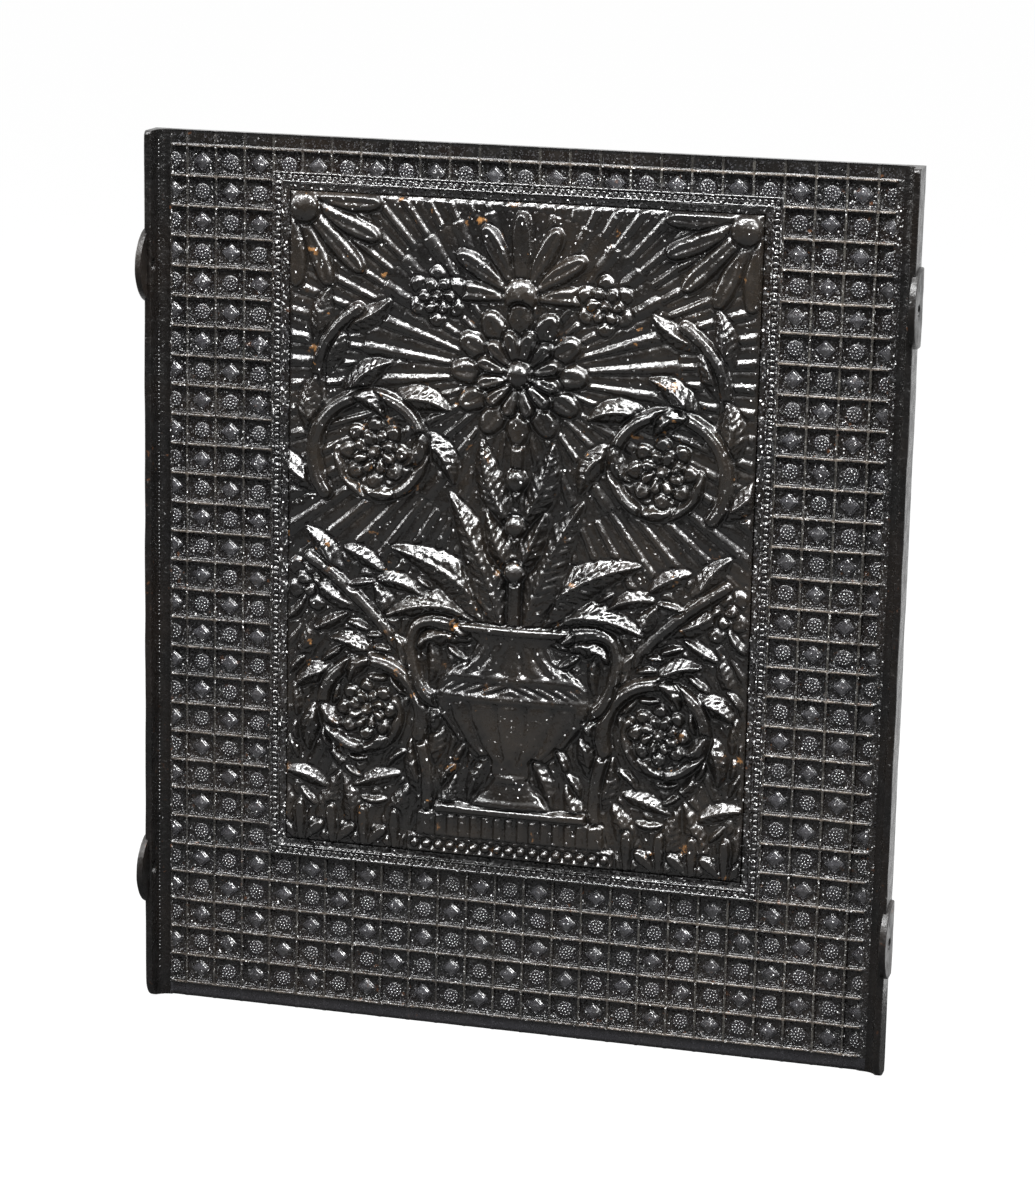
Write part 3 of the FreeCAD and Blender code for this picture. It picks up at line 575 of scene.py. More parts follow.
def opening(skin, level, centre, radius, axis, depth):
    """Round hole in a swept skin of rows by columns of points, square to X (axis 0) or to Y (axis 1).

    level is where the skin lies along the axis and centre the hole's middle as (across, z).  Gives the
    rows and columns of the faces to take out, and the points and faces of the ring and tube that line it.
    """
    rows = skin[:, 0, 2]
    low = np.searchsorted(rows, centre[1] - radius - 0.8) - 1
    high = np.searchsorted(rows, centre[1] + radius + 0.8)
    on_skin = np.flatnonzero(np.abs(skin[low, :, axis] - level) < 1.2)
    across = skin[low, on_skin, 1 - axis]
    order = 1 if across[-1] > across[0] else -1
    left = on_skin[np.searchsorted(order * across, order * centre[0] - radius) - 1]
    right = on_skin[np.searchsorted(order * across, order * centre[0] + radius)]
    corners = [skin[low, j] for j in range(left, right)] + [skin[i, right] for i in range(low, high)]
    corners += [skin[high, j] for j in range(right, left, -1)]
    corners += [skin[i, left] for i in range(high, low, -1)]
    ahead = np.roll(corners, -1, axis=0)
    outline = np.concatenate([a + (b - a) * np.arange(4)[:, None] / 4 for a, b in zip(corners, ahead)])
    away = outline[:, [1 - axis, 2]] - centre
    away *= radius / np.linalg.norm(away, axis=1)[:, None]
    mouth = outline.copy()
    mouth[:, [1 - axis, 2]] = centre + away
    rings = [outline, mouth]
    if depth:
        bottom = mouth.copy()
        bottom[:, axis] += depth
        rings.append(bottom)
    faces = grid_quads(len(rings), len(outline), closed=True)
    return (low, high, left, right), (np.concatenate(rings), faces)


def plate_openings(skin):
    """The holes in the plate's skin: the bolts' through both flanges, the screws' in the back."""
    found = []
    for node in LUGS:
        low, high = node_box(node)
        side = math.copysign(1.0, low[0] + high[0])
        centre = np.array((BOLT_Y, (low[2] + high[2]) / 2))
        found.append(opening(skin, side * INNER_X, centre, BOLT_RADIUS, 0, side * FLANGE_THICKNESS))
        found.append(opening(skin, side * WIDTH_HALF, centre, BOLT_RADIUS, 0, 0.0))
    for middle, low, high in solid_boxes("frame_screws"):
        found.append(opening(skin, BACK_Y, middle[[0, 2]], SCREW_HEAD + 0.25, 1, -SCREW_SINK))
    return found


def plate_shell(material):
    """Flanges and back as one swept skin, its ends closed, meeting the face at the coves."""
    right = right_profile()
    middle = [(x, BACK_Y) for x in np.linspace(WIDTH_HALF - EDGE_ROUND, EDGE_ROUND - WIDTH_HALF, 60)[1:-1]]
    left = [(-x, y) for x, y in reversed(right)]
    profile = np.array(right + middle + left)
    rounding = 1 - np.cos(np.linspace(0, math.pi / 2, 13))
    zs = np.concatenate([FLANGE_FOOT_RADIUS * rounding,
                         np.linspace(FLANGE_FOOT_RADIUS, HEIGHT - FLANGE_HEAD_RADIUS, 110)[1:-1],
                         HEIGHT - FLANGE_HEAD_RADIUS * rounding[::-1]])
    rows, columns = len(zs), len(profile)
    x = np.tile(profile[:, 0], (rows, 1))
    y = np.tile(profile[:, 1], (rows, 1))
    z = np.tile(zs[:, None], (1, columns))
    set_back = np.zeros_like(z)
    for radius, from_end in ((FLANGE_FOOT_RADIUS, z), (FLANGE_HEAD_RADIUS, HEIGHT - z)):
        short = np.clip(radius - from_end, 0, radius)
        set_back = np.maximum(set_back, radius - np.sqrt(radius ** 2 - short ** 2))
    y = np.maximum(y, FLANGE_FRONT_Y + set_back + np.minimum(y - FLANGE_FRONT_Y, EDGE_ROUND))
    on_back = y > BACK_Y - 0.1
    on_wall = (np.abs(x) > COVE_FOOT_X + 2) & (y < BACK_Y - 0.1)
    x = x - np.sign(x) * on_wall * 0.28 * (1 + noise(y, z, 26.0, 12))
    y = y - on_back * 0.25 * (1 + noise(x, z, 30.0, 13))
    skin = np.stack([x, y, z], axis=-1)
    kept = np.ones((rows - 1, columns - 1), bool)
    openings = plate_openings(skin)
    for (low, high, left, right), lining in openings:
        kept[low:high, left:right] = False
    points, quads = joined([(skin.reshape(-1, 3), grid_quads(rows, columns)[kept.ravel()])]
                           + [lining for place, lining in openings])
    mesh_piece("plate_shell", points, [quads[:, ::-1]], material, "back_plate")
    end_caps(skin, material)


def end_caps(skin, material):
    """The ends of the two flanges, level with the top and bottom edges."""
    count = len(right_profile())
    caps = []
    for ring in (skin[0], skin[-1]):
        for part, corner_x in ((ring[:count], COVE_FOOT_X), (ring[-count:], -COVE_FOOT_X)):
            cap = np.concatenate([part, [[corner_x, BACK_Y, part[0][2]]]])
            caps.append((cap, np.arange(count + 1)[None, :]))
    points, faces = joined(caps)
    mesh_piece("flange_ends", points, [faces], material, "back_plate", smooth=False)


# ---- bead frame ----
def frame_section():
    """(inward from the outer edge, height above the seat) of the moulding, rounded at its arrises."""
    inner = FILLET_WIDTH + BEAD_WIDTH
    lip = MOULDING_WIDTH + LIP_WIDTH
    return [(0.0, 0.0), (0.0, 2.5), (0.0, FRAME_RISE - 0.7), (0.2, FRAME_RISE - 0.2), (0.7, FRAME_RISE),
            (1.2, FRAME_RISE - 0.05), (FILLET_WIDTH - 0.1, FRAME_RISE - 0.5),
            (FILLET_WIDTH + 0.1, BEAD_BED), (inner - 0.1, BEAD_BED), (inner + 0.1, FRAME_RISE - 0.5),
            (inner + 0.6, FRAME_RISE - 0.05), (inner + 1.1, FRAME_RISE),
            (MOULDING_WIDTH - 0.3, FRAME_RISE - 0.25), (MOULDING_WIDTH, FRAME_RISE - 0.9),
            (MOULDING_WIDTH + 0.6, FRAME_RISE - 1.6), (MOULDING_WIDTH + 2.6, 3.5), (lip - 0.4, 3.2),
            (lip, 2.9), (lip, 2.3)]


def frame_steps(inset, step):
    """Numbers of steps along the frame's short and long sides at one inset from its outer edge."""
    return tuple(round((FRAME_HIGH[axis] - FRAME_LOW[axis] - 2 * inset) / step) for axis in (0, 2))


def frame_path(inset, steps):
    """(x, z) points round the frame at one inset from its outer edge, corner by corner."""
    x0, x1 = FRAME_LOW[0] + inset, FRAME_HIGH[0] - inset
    z0, z1 = FRAME_LOW[2] + inset, FRAME_HIGH[2] - inset
    corners = np.array([(x0, z0), (x1, z0), (x1, z1), (x0, z1)])
    return np.concatenate([a + (b - a) * np.arange(count)[:, None] / count
                           for a, b, count in zip(corners, np.roll(corners, -1, axis=0), steps * 2)])


def bead_frame(material):
    rings = []
    for inset, rise in frame_section():
        path = frame_path(inset, frame_steps(0.0, 6.0))
        y = SEAT_Y - rise + 0.12 * noise(path[:, 0], path[:, 1], 9.0, 14) * (rise > 1)
        rings.append(np.column_stack([path[:, 0], np.maximum(y, FRAME_LOW[1]), path[:, 1]]))
    quads = grid_quads(len(rings), len(rings[0]), closed=True)
    mesh_piece("frame_moulding", np.concatenate(rings), [quads], material, "bead_frame")


def pearl_points(along, across, rise):
    """Domed pearl with a crease down its middle, so that it reads as a pair."""
    around = 12
    shells = np.array((1.0, 0.92, 0.7, 0.4, 0.06))
    base = SEAT_Y - BEAD_BED + 0.1
    rises = rise * np.sqrt(1 - shells * shells)
    points, quads = ovals(list(zip(shells, rises)), around, across, along, base=base)
    crease = 0.45 * rise * np.exp(-(points[:, 0] / (0.28 * across)) ** 2)
    points[:, 1] += crease * (1 - np.repeat(shells, around) * 0.4)
    return points, quads


def pearls(material):
    middle = FILLET_WIDTH + BEAD_WIDTH / 2
    steps = frame_steps(middle, BEAD_PITCH)
    turns = np.repeat((math.pi / 2, 0.0, math.pi / 2, 0.0), steps * 2)
    shape = pearl_points(BEAD_PITCH * 0.47, BEAD_WIDTH * 0.49, FRAME_RISE - BEAD_BED + 0.55)
    points, faces = stamped(*shape, frame_path(middle, steps), turns)
    points[:, 1] += 0.14 * noise(points[:, 0], points[:, 2], 6.0, 15)
    points[:, 1] = np.maximum(points[:, 1], FRAME_LOW[1])
    mesh_piece("frame_pearls", points, [faces], material, "bead_frame")


# ---- ornament panel: a height field of leaves, scrolls, flowers and an urn ----
RELIEF_STEP = 1.0
RELIEF_LIMIT = FIELD_Y - node_box("relief_panel")[0][1]
RAISED = 0.3                # ground lower than this is open
SCROLLS = ((118.0, 112.0, 46.0, -1, 200.0), (114.0, 318.0, 52.0, 1, 320.0))
SCROLL_SWEEP = 400.0
SCROLL_TIGHTEN = 0.55
STEM_HALF_WIDTH = 5.5
STEM_RISE = 9.0
CROWN_LEVEL = 386.0
CROWN_RADIUS = 50.0
PALMETTE_LEVEL = 446.0
CORNER_INSET = 6.0
SPRAY_TOP = 236.0           # the ground below this height is filled with leaves, above it with rays
SPRAY_LEAST = 5.0
SPRAY_MOST = 14.0
RAY_RISE = 3.2
RAY_RINGS = ((0.0, 125.0, 60), (125.0, 235.0, 120), (235.0, 420.0, 240))    # from, to, rays in a full turn


class Relief:
    """Heights over the right-hand half of the panel's field, u from its middle and v from its foot."""

    def __init__(self):
        self.columns = int(round(FIELD_HALF / RELIEF_STEP)) + 1
        self.rows = int(round(FIELD_TALL / RELIEF_STEP)) + 1
        self.u = np.linspace(0.0, FIELD_HALF, self.columns)
        self.v = np.linspace(0.0, FIELD_TALL, self.rows)
        self.height = np.zeros((self.rows, self.columns))

    def window(self, u0, u1, v0, v1):
        """Rows and columns of a part of the field, and u and v over it."""
        i0, i1 = np.searchsorted(self.u, (u0, u1))
        j0, j1 = np.searchsorted(self.v, (v0, v1))
        rows, columns = slice(j0, j1), slice(i0, i1)
        return (rows, columns), *np.meshgrid(self.u[columns], self.v[rows])

    def lay(self, part, values, away):
        """Lay a form over what is there: it bulges over it, and a groove runs round its edge."""
        old = self.height[part]
        grooved = old * (0.25 + 0.75 * ease(away / 3.0))
        self.height[part] = np.where(values > 0.05, np.maximum(values, 0.6 * values + 0.45 * old), grooved)

    def ribbon(self, path, half_width, rise, section):
        """Raised band along a path; half_width and rise are functions of the share along it."""
        path = np.asarray(path)
        share = np.linspace(0.0, 1.0, len(path))
        along = np.concatenate([[0.0], np.cumsum(np.linalg.norm(np.diff(path, axis=0), axis=1))])
        widths = np.maximum(half_width(share), 0.01)
        rises = rise(share)
        reach = widths.max() + 4.0
        low, high = path.min(axis=0) - reach, path.max(axis=0) + reach
        part, u, v = self.window(low[0], high[0], low[1], high[1])
        if u.size == 0:
            return
        du = u[..., None] - path[:, 0]
        dv = v[..., None] - path[:, 1]
        nearest = np.argmin(np.sqrt(du * du + dv * dv) - widths, axis=-1)
        tangent = np.gradient(path, axis=0)
        tangent /= np.linalg.norm(tangent, axis=1)[:, None] + 1e-9
        du = np.take_along_axis(du, nearest[..., None], -1)[..., 0]
        dv = np.take_along_axis(dv, nearest[..., None], -1)[..., 0]
        away = np.hypot(du, dv)
        side = np.sign(tangent[nearest, 0] * dv - tangent[nearest, 1] * du)
        s = np.clip(side * away / widths[nearest], -1.0, 1.0)
        forward = along[nearest] + tangent[nearest, 0] * du + tangent[nearest, 1] * dv
        inside = np.abs(s) < 0.99
        value = np.where(inside, rises[nearest] * section(s, forward, widths[nearest]), 0.0)
        self.lay(part, value, np.maximum(away - widths[nearest], 0.0))


# A section gives the height across a band: s runs from -1 to 1 across it, forward is the length along it.
def corded(s, forward, half):
    """Round stem with a groove along each side."""
    return np.sqrt(np.maximum(1 - s * s, 0)) * (0.88 + 0.12 * np.cos(3 * math.pi * s))


def fluted(s, forward, half):
    """Petal or shell lobe: a full round with a shallow hollow down its middle."""
    return np.maximum(1 - np.abs(s) ** 2.6, 0) ** 0.7 * (1 - 0.28 * np.exp(-(s / 0.3) ** 2))


def feathered(s, forward, half):
    """Leaf like a steep roof with slanting veins and a raised rib along its middle."""
    roof = np.maximum(1 - np.abs(s) ** 1.35, 0) ** 0.85
    vein = np.cos(2 * math.pi * (forward - 0.9 * np.abs(s) * half) / (5.2 + 0.12 * half))
    depth = 0.17 * np.exp(-((np.abs(s) - 0.55) / 0.38) ** 2)
    rib = 0.12 * np.exp(-(s * half / 1.6) ** 2) - 0.16 * np.exp(-((np.abs(s) * half - 3.2) / 1.3) ** 2)
    return np.maximum(roof * (1 + depth * vein + rib), 0.06)


def steady(value):
    """The same value all along a band."""
    return lambda share: np.full_like(share, value)


def bezier(a, b, c, steps):
    t = np.linspace(0.0, 1.0, steps)[:, None]
    return (1 - t) ** 2 * np.array(a) + 2 * t * (1 - t) * np.array(b) + t ** 2 * np.array(c)


def leaf_path(u, v, heading, length, curl=0.0):
    """Curve from a tail along the heading in degrees, turned by the curl in degrees at its tip."""
    tail = np.array((u, v))
    first, last = (np.array((math.cos(a), math.sin(a))) for a in np.radians((heading, heading + curl)))
    middle = tail + 0.5 * length * first
    return bezier(tail, middle, middle + 0.5 * length * last, max(12, int(length / 0.8)))


def leaf(relief, u, v, heading, length, width, rise, curl=0.0):
    """Pointed leaf with a toothed margin."""
    teeth = max(3, round(length / 11.0))

    def half(t):
        body = np.sin(math.pi * np.clip(0.08 + 0.92 * t, 0, 1) ** 0.85) ** 0.75
        tooth = (t * teeth) % 1.0
        return width / 2 * body * (0.8 + 0.2 * tooth ** 0.7)

    relief.ribbon(leaf_path(u, v, heading, length, curl), half,
                  lambda t: rise * (0.6 + 0.4 * np.sin(math.pi * t ** 0.9)), feathered)


def lobe(relief, u, v, heading, length, width, rise):
    """Long strip that swells toward a blunt end."""
    relief.ribbon(leaf_path(u, v, heading, length),
                  lambda t: width / 2 * (0.4 + 0.6 * np.sin(math.pi / 2 * t)) * np.sqrt(1 - t ** 10),
                  lambda t: rise * (0.55 + 0.45 * t), fluted)


def fan(relief, u, v, heading, spread, lengths, width, rise):
    """Lobes spread evenly from one root, the middle one on top."""
    middle = (len(lengths) - 1) / 2
    for k in sorted(range(len(lengths)), key=lambda k: -abs(k - middle)):
        off = k / middle - 1
        lobe(relief, u, v, heading + off * spread / 2, lengths[k], width, rise * (1 - 0.12 * abs(off)))


def boss(relief, u, v, radius, rise):
    part, uu, vv = relief.window(u - radius - 3, u + radius + 3, v - radius - 3, v + radius + 3)
    if uu.size == 0:
        return
    away = np.hypot(uu - u, vv - v)
    values = np.where(away < radius, rise * np.sqrt(np.maximum(1 - 0.75 * (away / radius) ** 2, 0)), 0.0)
    relief.lay(part, values, np.maximum(away - radius, 0.0))


def flower(relief, u, v, radius, petals, rise):
    """Open flower of two rings of petals round a boss."""
    start = 0.15 * radius
    for reach, lift, turn in ((1.0, 0.7, 0.0), (0.62, 0.95, 0.5)):
        for k in range(petals):
            heading = 360.0 * (k + turn) / petals + 90.0
            along = math.radians(heading)
            lobe(relief, u + start * math.cos(along), v + start * math.sin(along), heading,
                 radius * reach - start, 5.4 * radius * reach / petals, rise * lift)
    boss(relief, u, v, radius * 0.2, rise * 1.12)


def spiral(u, v, radius, turn, start):
    """Points of a scroll's stem winding in about its eye; angles in degrees."""
    t = np.linspace(0.0, 1.0, 200)
    reach = radius * (1 - (1 - SCROLL_TIGHTEN) * t)
    angle = np.radians(start + turn * SCROLL_SWEEP * t)
    return np.stack([u + reach * np.cos(angle), v + reach * np.sin(angle)], axis=-1)


def scroll(relief, u, v, radius, turn, start):
    """Leafy scroll: outer leaves, stem, inner leaves and a flower at its eye.

    turn is 1 where the stem winds anticlockwise, -1 where clockwise; start is the stem's first angle.
    """
    stem = spiral(u, v, radius, turn, start)

    def leaves(shares, lean, length, width, rise):
        for t in shares:
            at = stem[int(t * (len(stem) - 1))]
            tangent = start + turn * (SCROLL_SWEEP * t + 90.0)
            leaf(relief, at[0], at[1], tangent + turn * lean, radius * length, radius * width, rise,
                 turn * 60.0)

    leaves((0.5, 0.38, 0.26, 0.14, 0.02), -46.0, 1.0, 0.42, 9.5)
    relief.ribbon(stem, lambda t: STEM_HALF_WIDTH * (1.15 - 0.4 * t), steady(STEM_RISE + 1.5), corded)
    leaves((0.72, 0.5, 0.28), 22.0, 0.62, 0.3, 8.5)
    flower(relief, u, v, radius * 0.46, 8, 10.5)


URN_LEVELS = (42.0, 48.0, 56.0, 66.0, 76.0, 92.0, 112.0, 128.0, 142.0, 152.0, 164.0, 174.0, 188.0)
URN_WIDTHS = (36.0, 34.0, 20.0, 13.0, 22.0, 42.0, 57.0, 62.0, 60.0, 50.0, 34.0, 29.0, 46.0)
URN_BANDS = ((45.0, 3.5, 1.5), (66.0, 3.4, 2.2), (130.5, 3.6, 1.8), (147.0, 3.4, 1.5), (185.0, 3.4, 2.4))
URN_GADROONS = 8


def urn(relief):
    """Round-bodied vase with gadroons on its bowl and raised bands."""
    part, u, v = relief.window(-1, 70, URN_LEVELS[0] - 1, URN_LEVELS[-1] + 1)
    width = np.interp(v, URN_LEVELS, URN_WIDTHS)
    share = np.clip(u / width, 0, 1)
    body = np.sqrt(np.maximum(1 - share ** 2, 0))
    turn = np.arcsin(share)
    gadroon = np.abs(np.cos(turn * URN_GADROONS))
    low_bowl = ease((v - 76) / 8) * ease((128 - v) / 4)
    high_bowl = ease((v - 149) / 4) * ease((176 - v) / 8)
    frieze = ease((v - 134) / 2) * ease((144 - v) / 2)
    value = 1.0 + body ** 0.8 * (4.6 + 0.065 * width)
    value = value + low_bowl * 4.2 * (gadroon ** 0.6 - 0.6) * body ** 0.4
    value = value + high_bowl * 3.0 * (gadroon - 0.6) * body ** 0.4
    value = value + frieze * 1.4 * np.cos(turn * 26 + v) * body ** 0.4
    for level, half, rise in URN_BANDS:
        value = value + rise * np.sqrt(np.maximum(1 - ((v - level) / half) ** 2, 0)) * body ** 0.3
    inside = (v > URN_LEVELS[0]) & (v < URN_LEVELS[-1]) & (u < width)
    relief.lay(part, np.where(inside, value, 0.0), np.maximum(u - width, 0.0))


def handle(relief):
    """S-shaped handle from the urn's lip to its shoulder."""
    upper = bezier((40.0, 184.0), (92.0, 202.0), (80.0, 152.0), 50)
    lower = bezier((80.0, 152.0), (73.0, 122.0), (55.0, 124.0), 40)
    path = np.concatenate([upper, lower[1:]])
    relief.ribbon(path, lambda t: 5.2 + 1.2 * np.cos(6.28 * t), lambda t: 9.5 - 0.6 * t, corded)
    boss(relief, 41.0, 184.0, 7.0, 10.5)
    boss(relief, 56.0, 124.0, 6.0, 10.0)


def plinth(relief):
    """Stepped foot under the urn: its middle step is reeded and its lowest has a row of beads."""
    for low, high, half, rise, reeding in ((0.0, 15.0, 84.0, 5.4, 0.0), (15.0, 35.0, 76.0, 6.6, 1.6),
                                           (35.0, 43.0, 62.0, 9.0, 0.0)):
        part, u, v = relief.window(-1, half + 4, low - 1, high + 1)
        edge = np.minimum(half - u, np.minimum(v - low + 0.8, high - v + 0.2))
        value = rise * ease(edge / 1.6) + reeding * ease(edge / 3.0) * np.cos(2 * math.pi * u / 9.5)
        relief.lay(part, np.maximum(value, 0) * (edge > 0), np.maximum(u - half, 0.0))
    for k in range(9):
        boss(relief, k * 9.6, 7.5, 3.6, 7.4)


def ground_leaves(relief):
    """Upright leaves in two rows, from the plinth to the panel's edge."""
    for k in range(4):
        leaf(relief, 100.0 + k * 26.0, 2.0, 96.0 - 4 * k, 62.0, 22.0, 7.0, (-1) ** k * 30.0)
    for k in range(4):
        fan(relief, 94.0 + k * 26.0, 0.0, 90.0, 96.0, (24.0, 32.0, 24.0), 10.0, 8.5)


def bouquet(relief):
    """Long leaves that stand in the urn and arch outward."""
    for heading, length, width, curl in ((8.0, 92.0, 26.0, -50.0), (34.0, 112.0, 30.0, -62.0),
                                         (56.0, 120.0, 32.0, -46.0), (76.0, 118.0, 32.0, -18.0)):
        leaf(relief, 8.0, 184.0, heading, length, width, 10.0, curl)


def middle_stem(relief):
    """Upright stem from the urn to the crown flower, with paired leaves and buds."""
    path = np.column_stack([np.zeros(200), np.linspace(186.0, CROWN_LEVEL, 200)])
    relief.ribbon(path, steady(5.5), steady(10.0), corded)
    leaf(relief, 3.0, 268.0, 52.0, 74.0, 26.0, 10.0, 34.0)
    leaf(relief, 3.0, 232.0, 62.0, 52.0, 20.0, 11.0, 10.0)
    for v in (232.0, 268.0, 304.0):
        boss(relief, 0.0, v, 8.5, 11.5)
    flower(relief, 0.0, CROWN_LEVEL, CROWN_RADIUS, 12, 11.5)


def branches(relief):
    """Stems that join the scrolls, each sheathed in leaves."""
    for a, b, c in (((80.0, 6.0), (58.0, 40.0), (74.0, 92.0)),
                    ((80.0, 146.0), (110.0, 196.0), (166.0, 232.0)),
                    ((158.0, 352.0), (172.0, 400.0), (128.0, 430.0))):
        path = bezier(a, b, c, 90)
        for t, side in ((0.3, 1), (0.55, -1), (0.8, 1)):
            k = int(t * (len(path) - 1))
            ahead = path[k + 1] - path[k]
            heading = math.degrees(math.atan2(ahead[1], ahead[0]))
            leaf(relief, *path[k], heading + side * 42.0, 50.0, 20.0, 8.0, -side * 46.0)
        relief.ribbon(path, steady(5.0), steady(8.5), corded)


def fillers(relief):
    """Fans in the corners, a palmette at the top and flowers at the sides."""
    fan(relief, FIELD_HALF - CORNER_INSET, FIELD_TALL - CORNER_INSET, 225.0, 90.0,
        (66.0, 70.0, 74.0, 70.0, 66.0), 18.0, 8.5)
    boss(relief, FIELD_HALF - 2 * CORNER_INSET, FIELD_TALL - 2 * CORNER_INSET, 12.0, 10.0)
    fan(relief, 0.0, PALMETTE_LEVEL, 90.0, 176.0, (58.0, 57.0, 58.0, 62.0, 58.0, 57.0, 58.0), 18.0, 9.5)
    boss(relief, 0.0, PALMETTE_LEVEL, 13.0, 11.0)
    for u, v, radius in ((160.0, 214.0, 21.0), (66.0, 442.0, 19.0)):
        flower(relief, u, v, radius, 6, 8.0)


def open_ground(relief):
    """Distance in millimetres from each place to the nearest raised form or edge."""
    clear = np.where(relief.height > RAISED, 0.0, 60.0)
    clear[0, :] = clear[-1, :] = clear[:, -1] = 0.0
    around = [(i, j, (1.0, 1.41)[i != 1 and j != 1]) for i in range(3) for j in range(3)]
    for _ in range(26):
        padded = np.pad(clear, 1, mode="edge")
        for i, j, far in around:
            shifted = padded[i:i + clear.shape[0], j:j + clear.shape[1]] + far * RELIEF_STEP
            clear = np.minimum(clear, shifted)
    return clear


def sprays(relief):
    """Leaves that fill the ground beside the urn, turned round the lower scroll."""
    chance = np.random.default_rng(5)
    uu, vv = np.meshgrid(relief.u, relief.v)
    clear = open_ground(relief) * (vv < SPRAY_TOP)
    eye_u, eye_v = SCROLLS[0][:2]
    while clear.max() > SPRAY_LEAST:
        spot = np.unravel_index(np.argmax(clear), clear.shape)
        size = min(clear[spot], SPRAY_MOST)
        u, v = relief.u[spot[1]], relief.v[spot[0]]
        heading = math.degrees(math.atan2(v - eye_v, u - eye_u)) + 90.0 + 25.0 * chance.uniform(-1, 1)
        a = math.radians(heading)
        leaf(relief, u - 1.3 * size * math.cos(a), v - 1.3 * size * math.sin(a), heading, size * 2.9,
             size * 1.15, 6.5, 50.0 * chance.uniform(-1, 1))
        clear = np.minimum(clear, np.maximum(np.hypot(uu - u, vv - v) - size, 0.0))
        clear[spot] = 0.0


def rays(relief):
    """Low rays round the crown flower, on the ground left between the main forms."""
    u, v = np.meshgrid(relief.u, relief.v)
    away = np.hypot(u, v - CROWN_LEVEL)
    angle = np.arctan2(u, v - CROWN_LEVEL)
    value = np.zeros_like(u)
    for near, far, count in RAY_RINGS:
        inside = (away >= near) & (away < far)
        wave = np.cos(count / 2 * angle)
        ridge = 0.5 + RAY_RISE * (0.75 + 0.25 * wave) * np.abs(wave) ** 0.8
        value = np.where(inside, ridge * ease((away - near) / 3 + 0.3), value)
    value = value * ease(open_ground(relief) / 2.5)
    relief.height = np.where(relief.height > RAISED, relief.height, value)


def panel_heights():
    """The whole field's u, v and heights: the right-hand half, mirrored and a little softened."""
    relief = Relief()
    for form in (fillers, ground_leaves, branches, bouquet):
        form(relief)
    for place in reversed(SCROLLS):
        scroll(relief, *place)
    for form in (middle_stem, plinth, handle, urn, sprays, rays):
        form(relief)
    full = np.concatenate([relief.height[:, :0:-1], relief.height], axis=1)
    for axis in (0, 1):
        full = 0.2 * np.roll(full, 1, axis) + 0.6 * full + 0.2 * np.roll(full, -1, axis)
    u = np.concatenate([-relief.u[:0:-1], relief.u])
    return u, relief.v, full


def relief_panel(material):
    u, v, heights = panel_heights()
    uu, vv = np.meshgrid(u, v)
    ground = 0.6 + 0.45 * noise(uu, vv, 7.0, 16) + 0.25 * noise(uu, vv, 2.8, 17)
    uneven = 0.35 * noise(uu, vv, 11.0, 18) + 0.2 * noise(uu, vv, 3.6, 19)
    rim = np.minimum(np.minimum(FIELD_HALF - np.abs(uu), vv), FIELD_TALL - vv)
    heights = np.where(heights > RAISED, heights + uneven, ground)
    heights = np.clip(heights, 0.0, RELIEF_LIMIT) * ease(rim / 2.5 + 0.15)
    points = np.stack([PANEL_X + uu, FIELD_Y - heights, FIELD_FOOT + vv], axis=-1).reshape(-1, 3)
    rows, columns = uu.shape
    edge = np.concatenate([np.arange(columns), np.arange(1, rows) * columns + columns - 1,
                           (rows - 1) * columns + np.arange(columns - 2, -1, -1),
                           np.arange(rows - 2, 0, -1) * columns])
    back = points[edge] * (1, 0, 1) + (0, SEAT_Y, 0)
    number = len(points) + np.arange(len(edge))
    wall = np.stack([edge, number, np.roll(number, -1), np.roll(edge, -1)], axis=-1)
    mesh_piece("panel_relief", np.concatenate([points, back]), [grid_quads(rows, columns), wall, number],
               material, "relief_panel")


# ---- lugs ----
LUG_ROUND = 1.6
LUG_ARRIS = ((0.0, 0.0), (0.0, 0.55), (0.12, 0.8), (0.4, 0.95), (0.9, 1.0))     # inset, share of the depth


def square_tail(angles, centre_y, radius, back_y):
    """Outline points of the tongue: half-round to the front, straight sides and back."""
    y, z = -np.cos(angles), np.sin(angles)
    squared = np.minimum(radius / np.maximum(np.abs(z), 1e-9), (back_y - centre_y) / np.maximum(y, 1e-9))
    reach = np.where(y <= 0, radius, squared)
    return np.column_stack([centre_y + reach * y, reach * z])


def lug(node, side, material):
    """Worn tongue with a half-round nose, rounded arrises and a bolt hole."""
    low, high = node_box(node)
    inner, outer = sorted((abs(low[0]), abs(high[0])))
    radius = (high[2] - low[2]) / 2
    around = 72
    angles = circle(around)
    outline = square_tail(angles, low[1] + radius, radius, high[1])
    hole = np.column_stack([BOLT_Y - BOLT_RADIUS * np.cos(angles), BOLT_RADIUS * np.sin(angles)])
    stations = [(inner + (outer - inner) * share, inset * LUG_ROUND / radius)
                for inset, share in LUG_ARRIS]
    stations += [(outer, 0.25), (outer, 0.5), (outer, 0.75), (outer, 0.98), (outer - 0.5, 1.0),
                 (inner + 0.3, 1.0), (inner, 0.98), (inner, 0.0)]       # place, share of the way to the hole
    points = np.concatenate([np.column_stack([np.full(around, x), outline + (hole - outline) * share])
                             for x, share in stations])
    uneven = 0.12 * (1 + noise(points[:, 1], points[:, 2], 8.0, 20 + side))
    points[:, 0] -= uneven * (points[:, 0] > outer - 0.3)
    points = points * (side, 1, 1) + (0, 0, (high[2] + low[2]) / 2)
    quads = grid_quads(len(stations), around, closed=True)
    mesh_piece(node.replace("lug", "ear"), points, [quads], material, node)


# ---- rivets and screws ----
def turned(profile, around=24):
    """Points and faces of a bar turned about its axis: (place along the axis, radius) from end to end."""
    angles = circle(around)
    rings = [np.column_stack([np.full(around, along), radius * np.cos(angles), radius * np.sin(angles)])
             for along, radius in profile]
    return np.concatenate(rings), grid_quads(len(profile), around, closed=True)


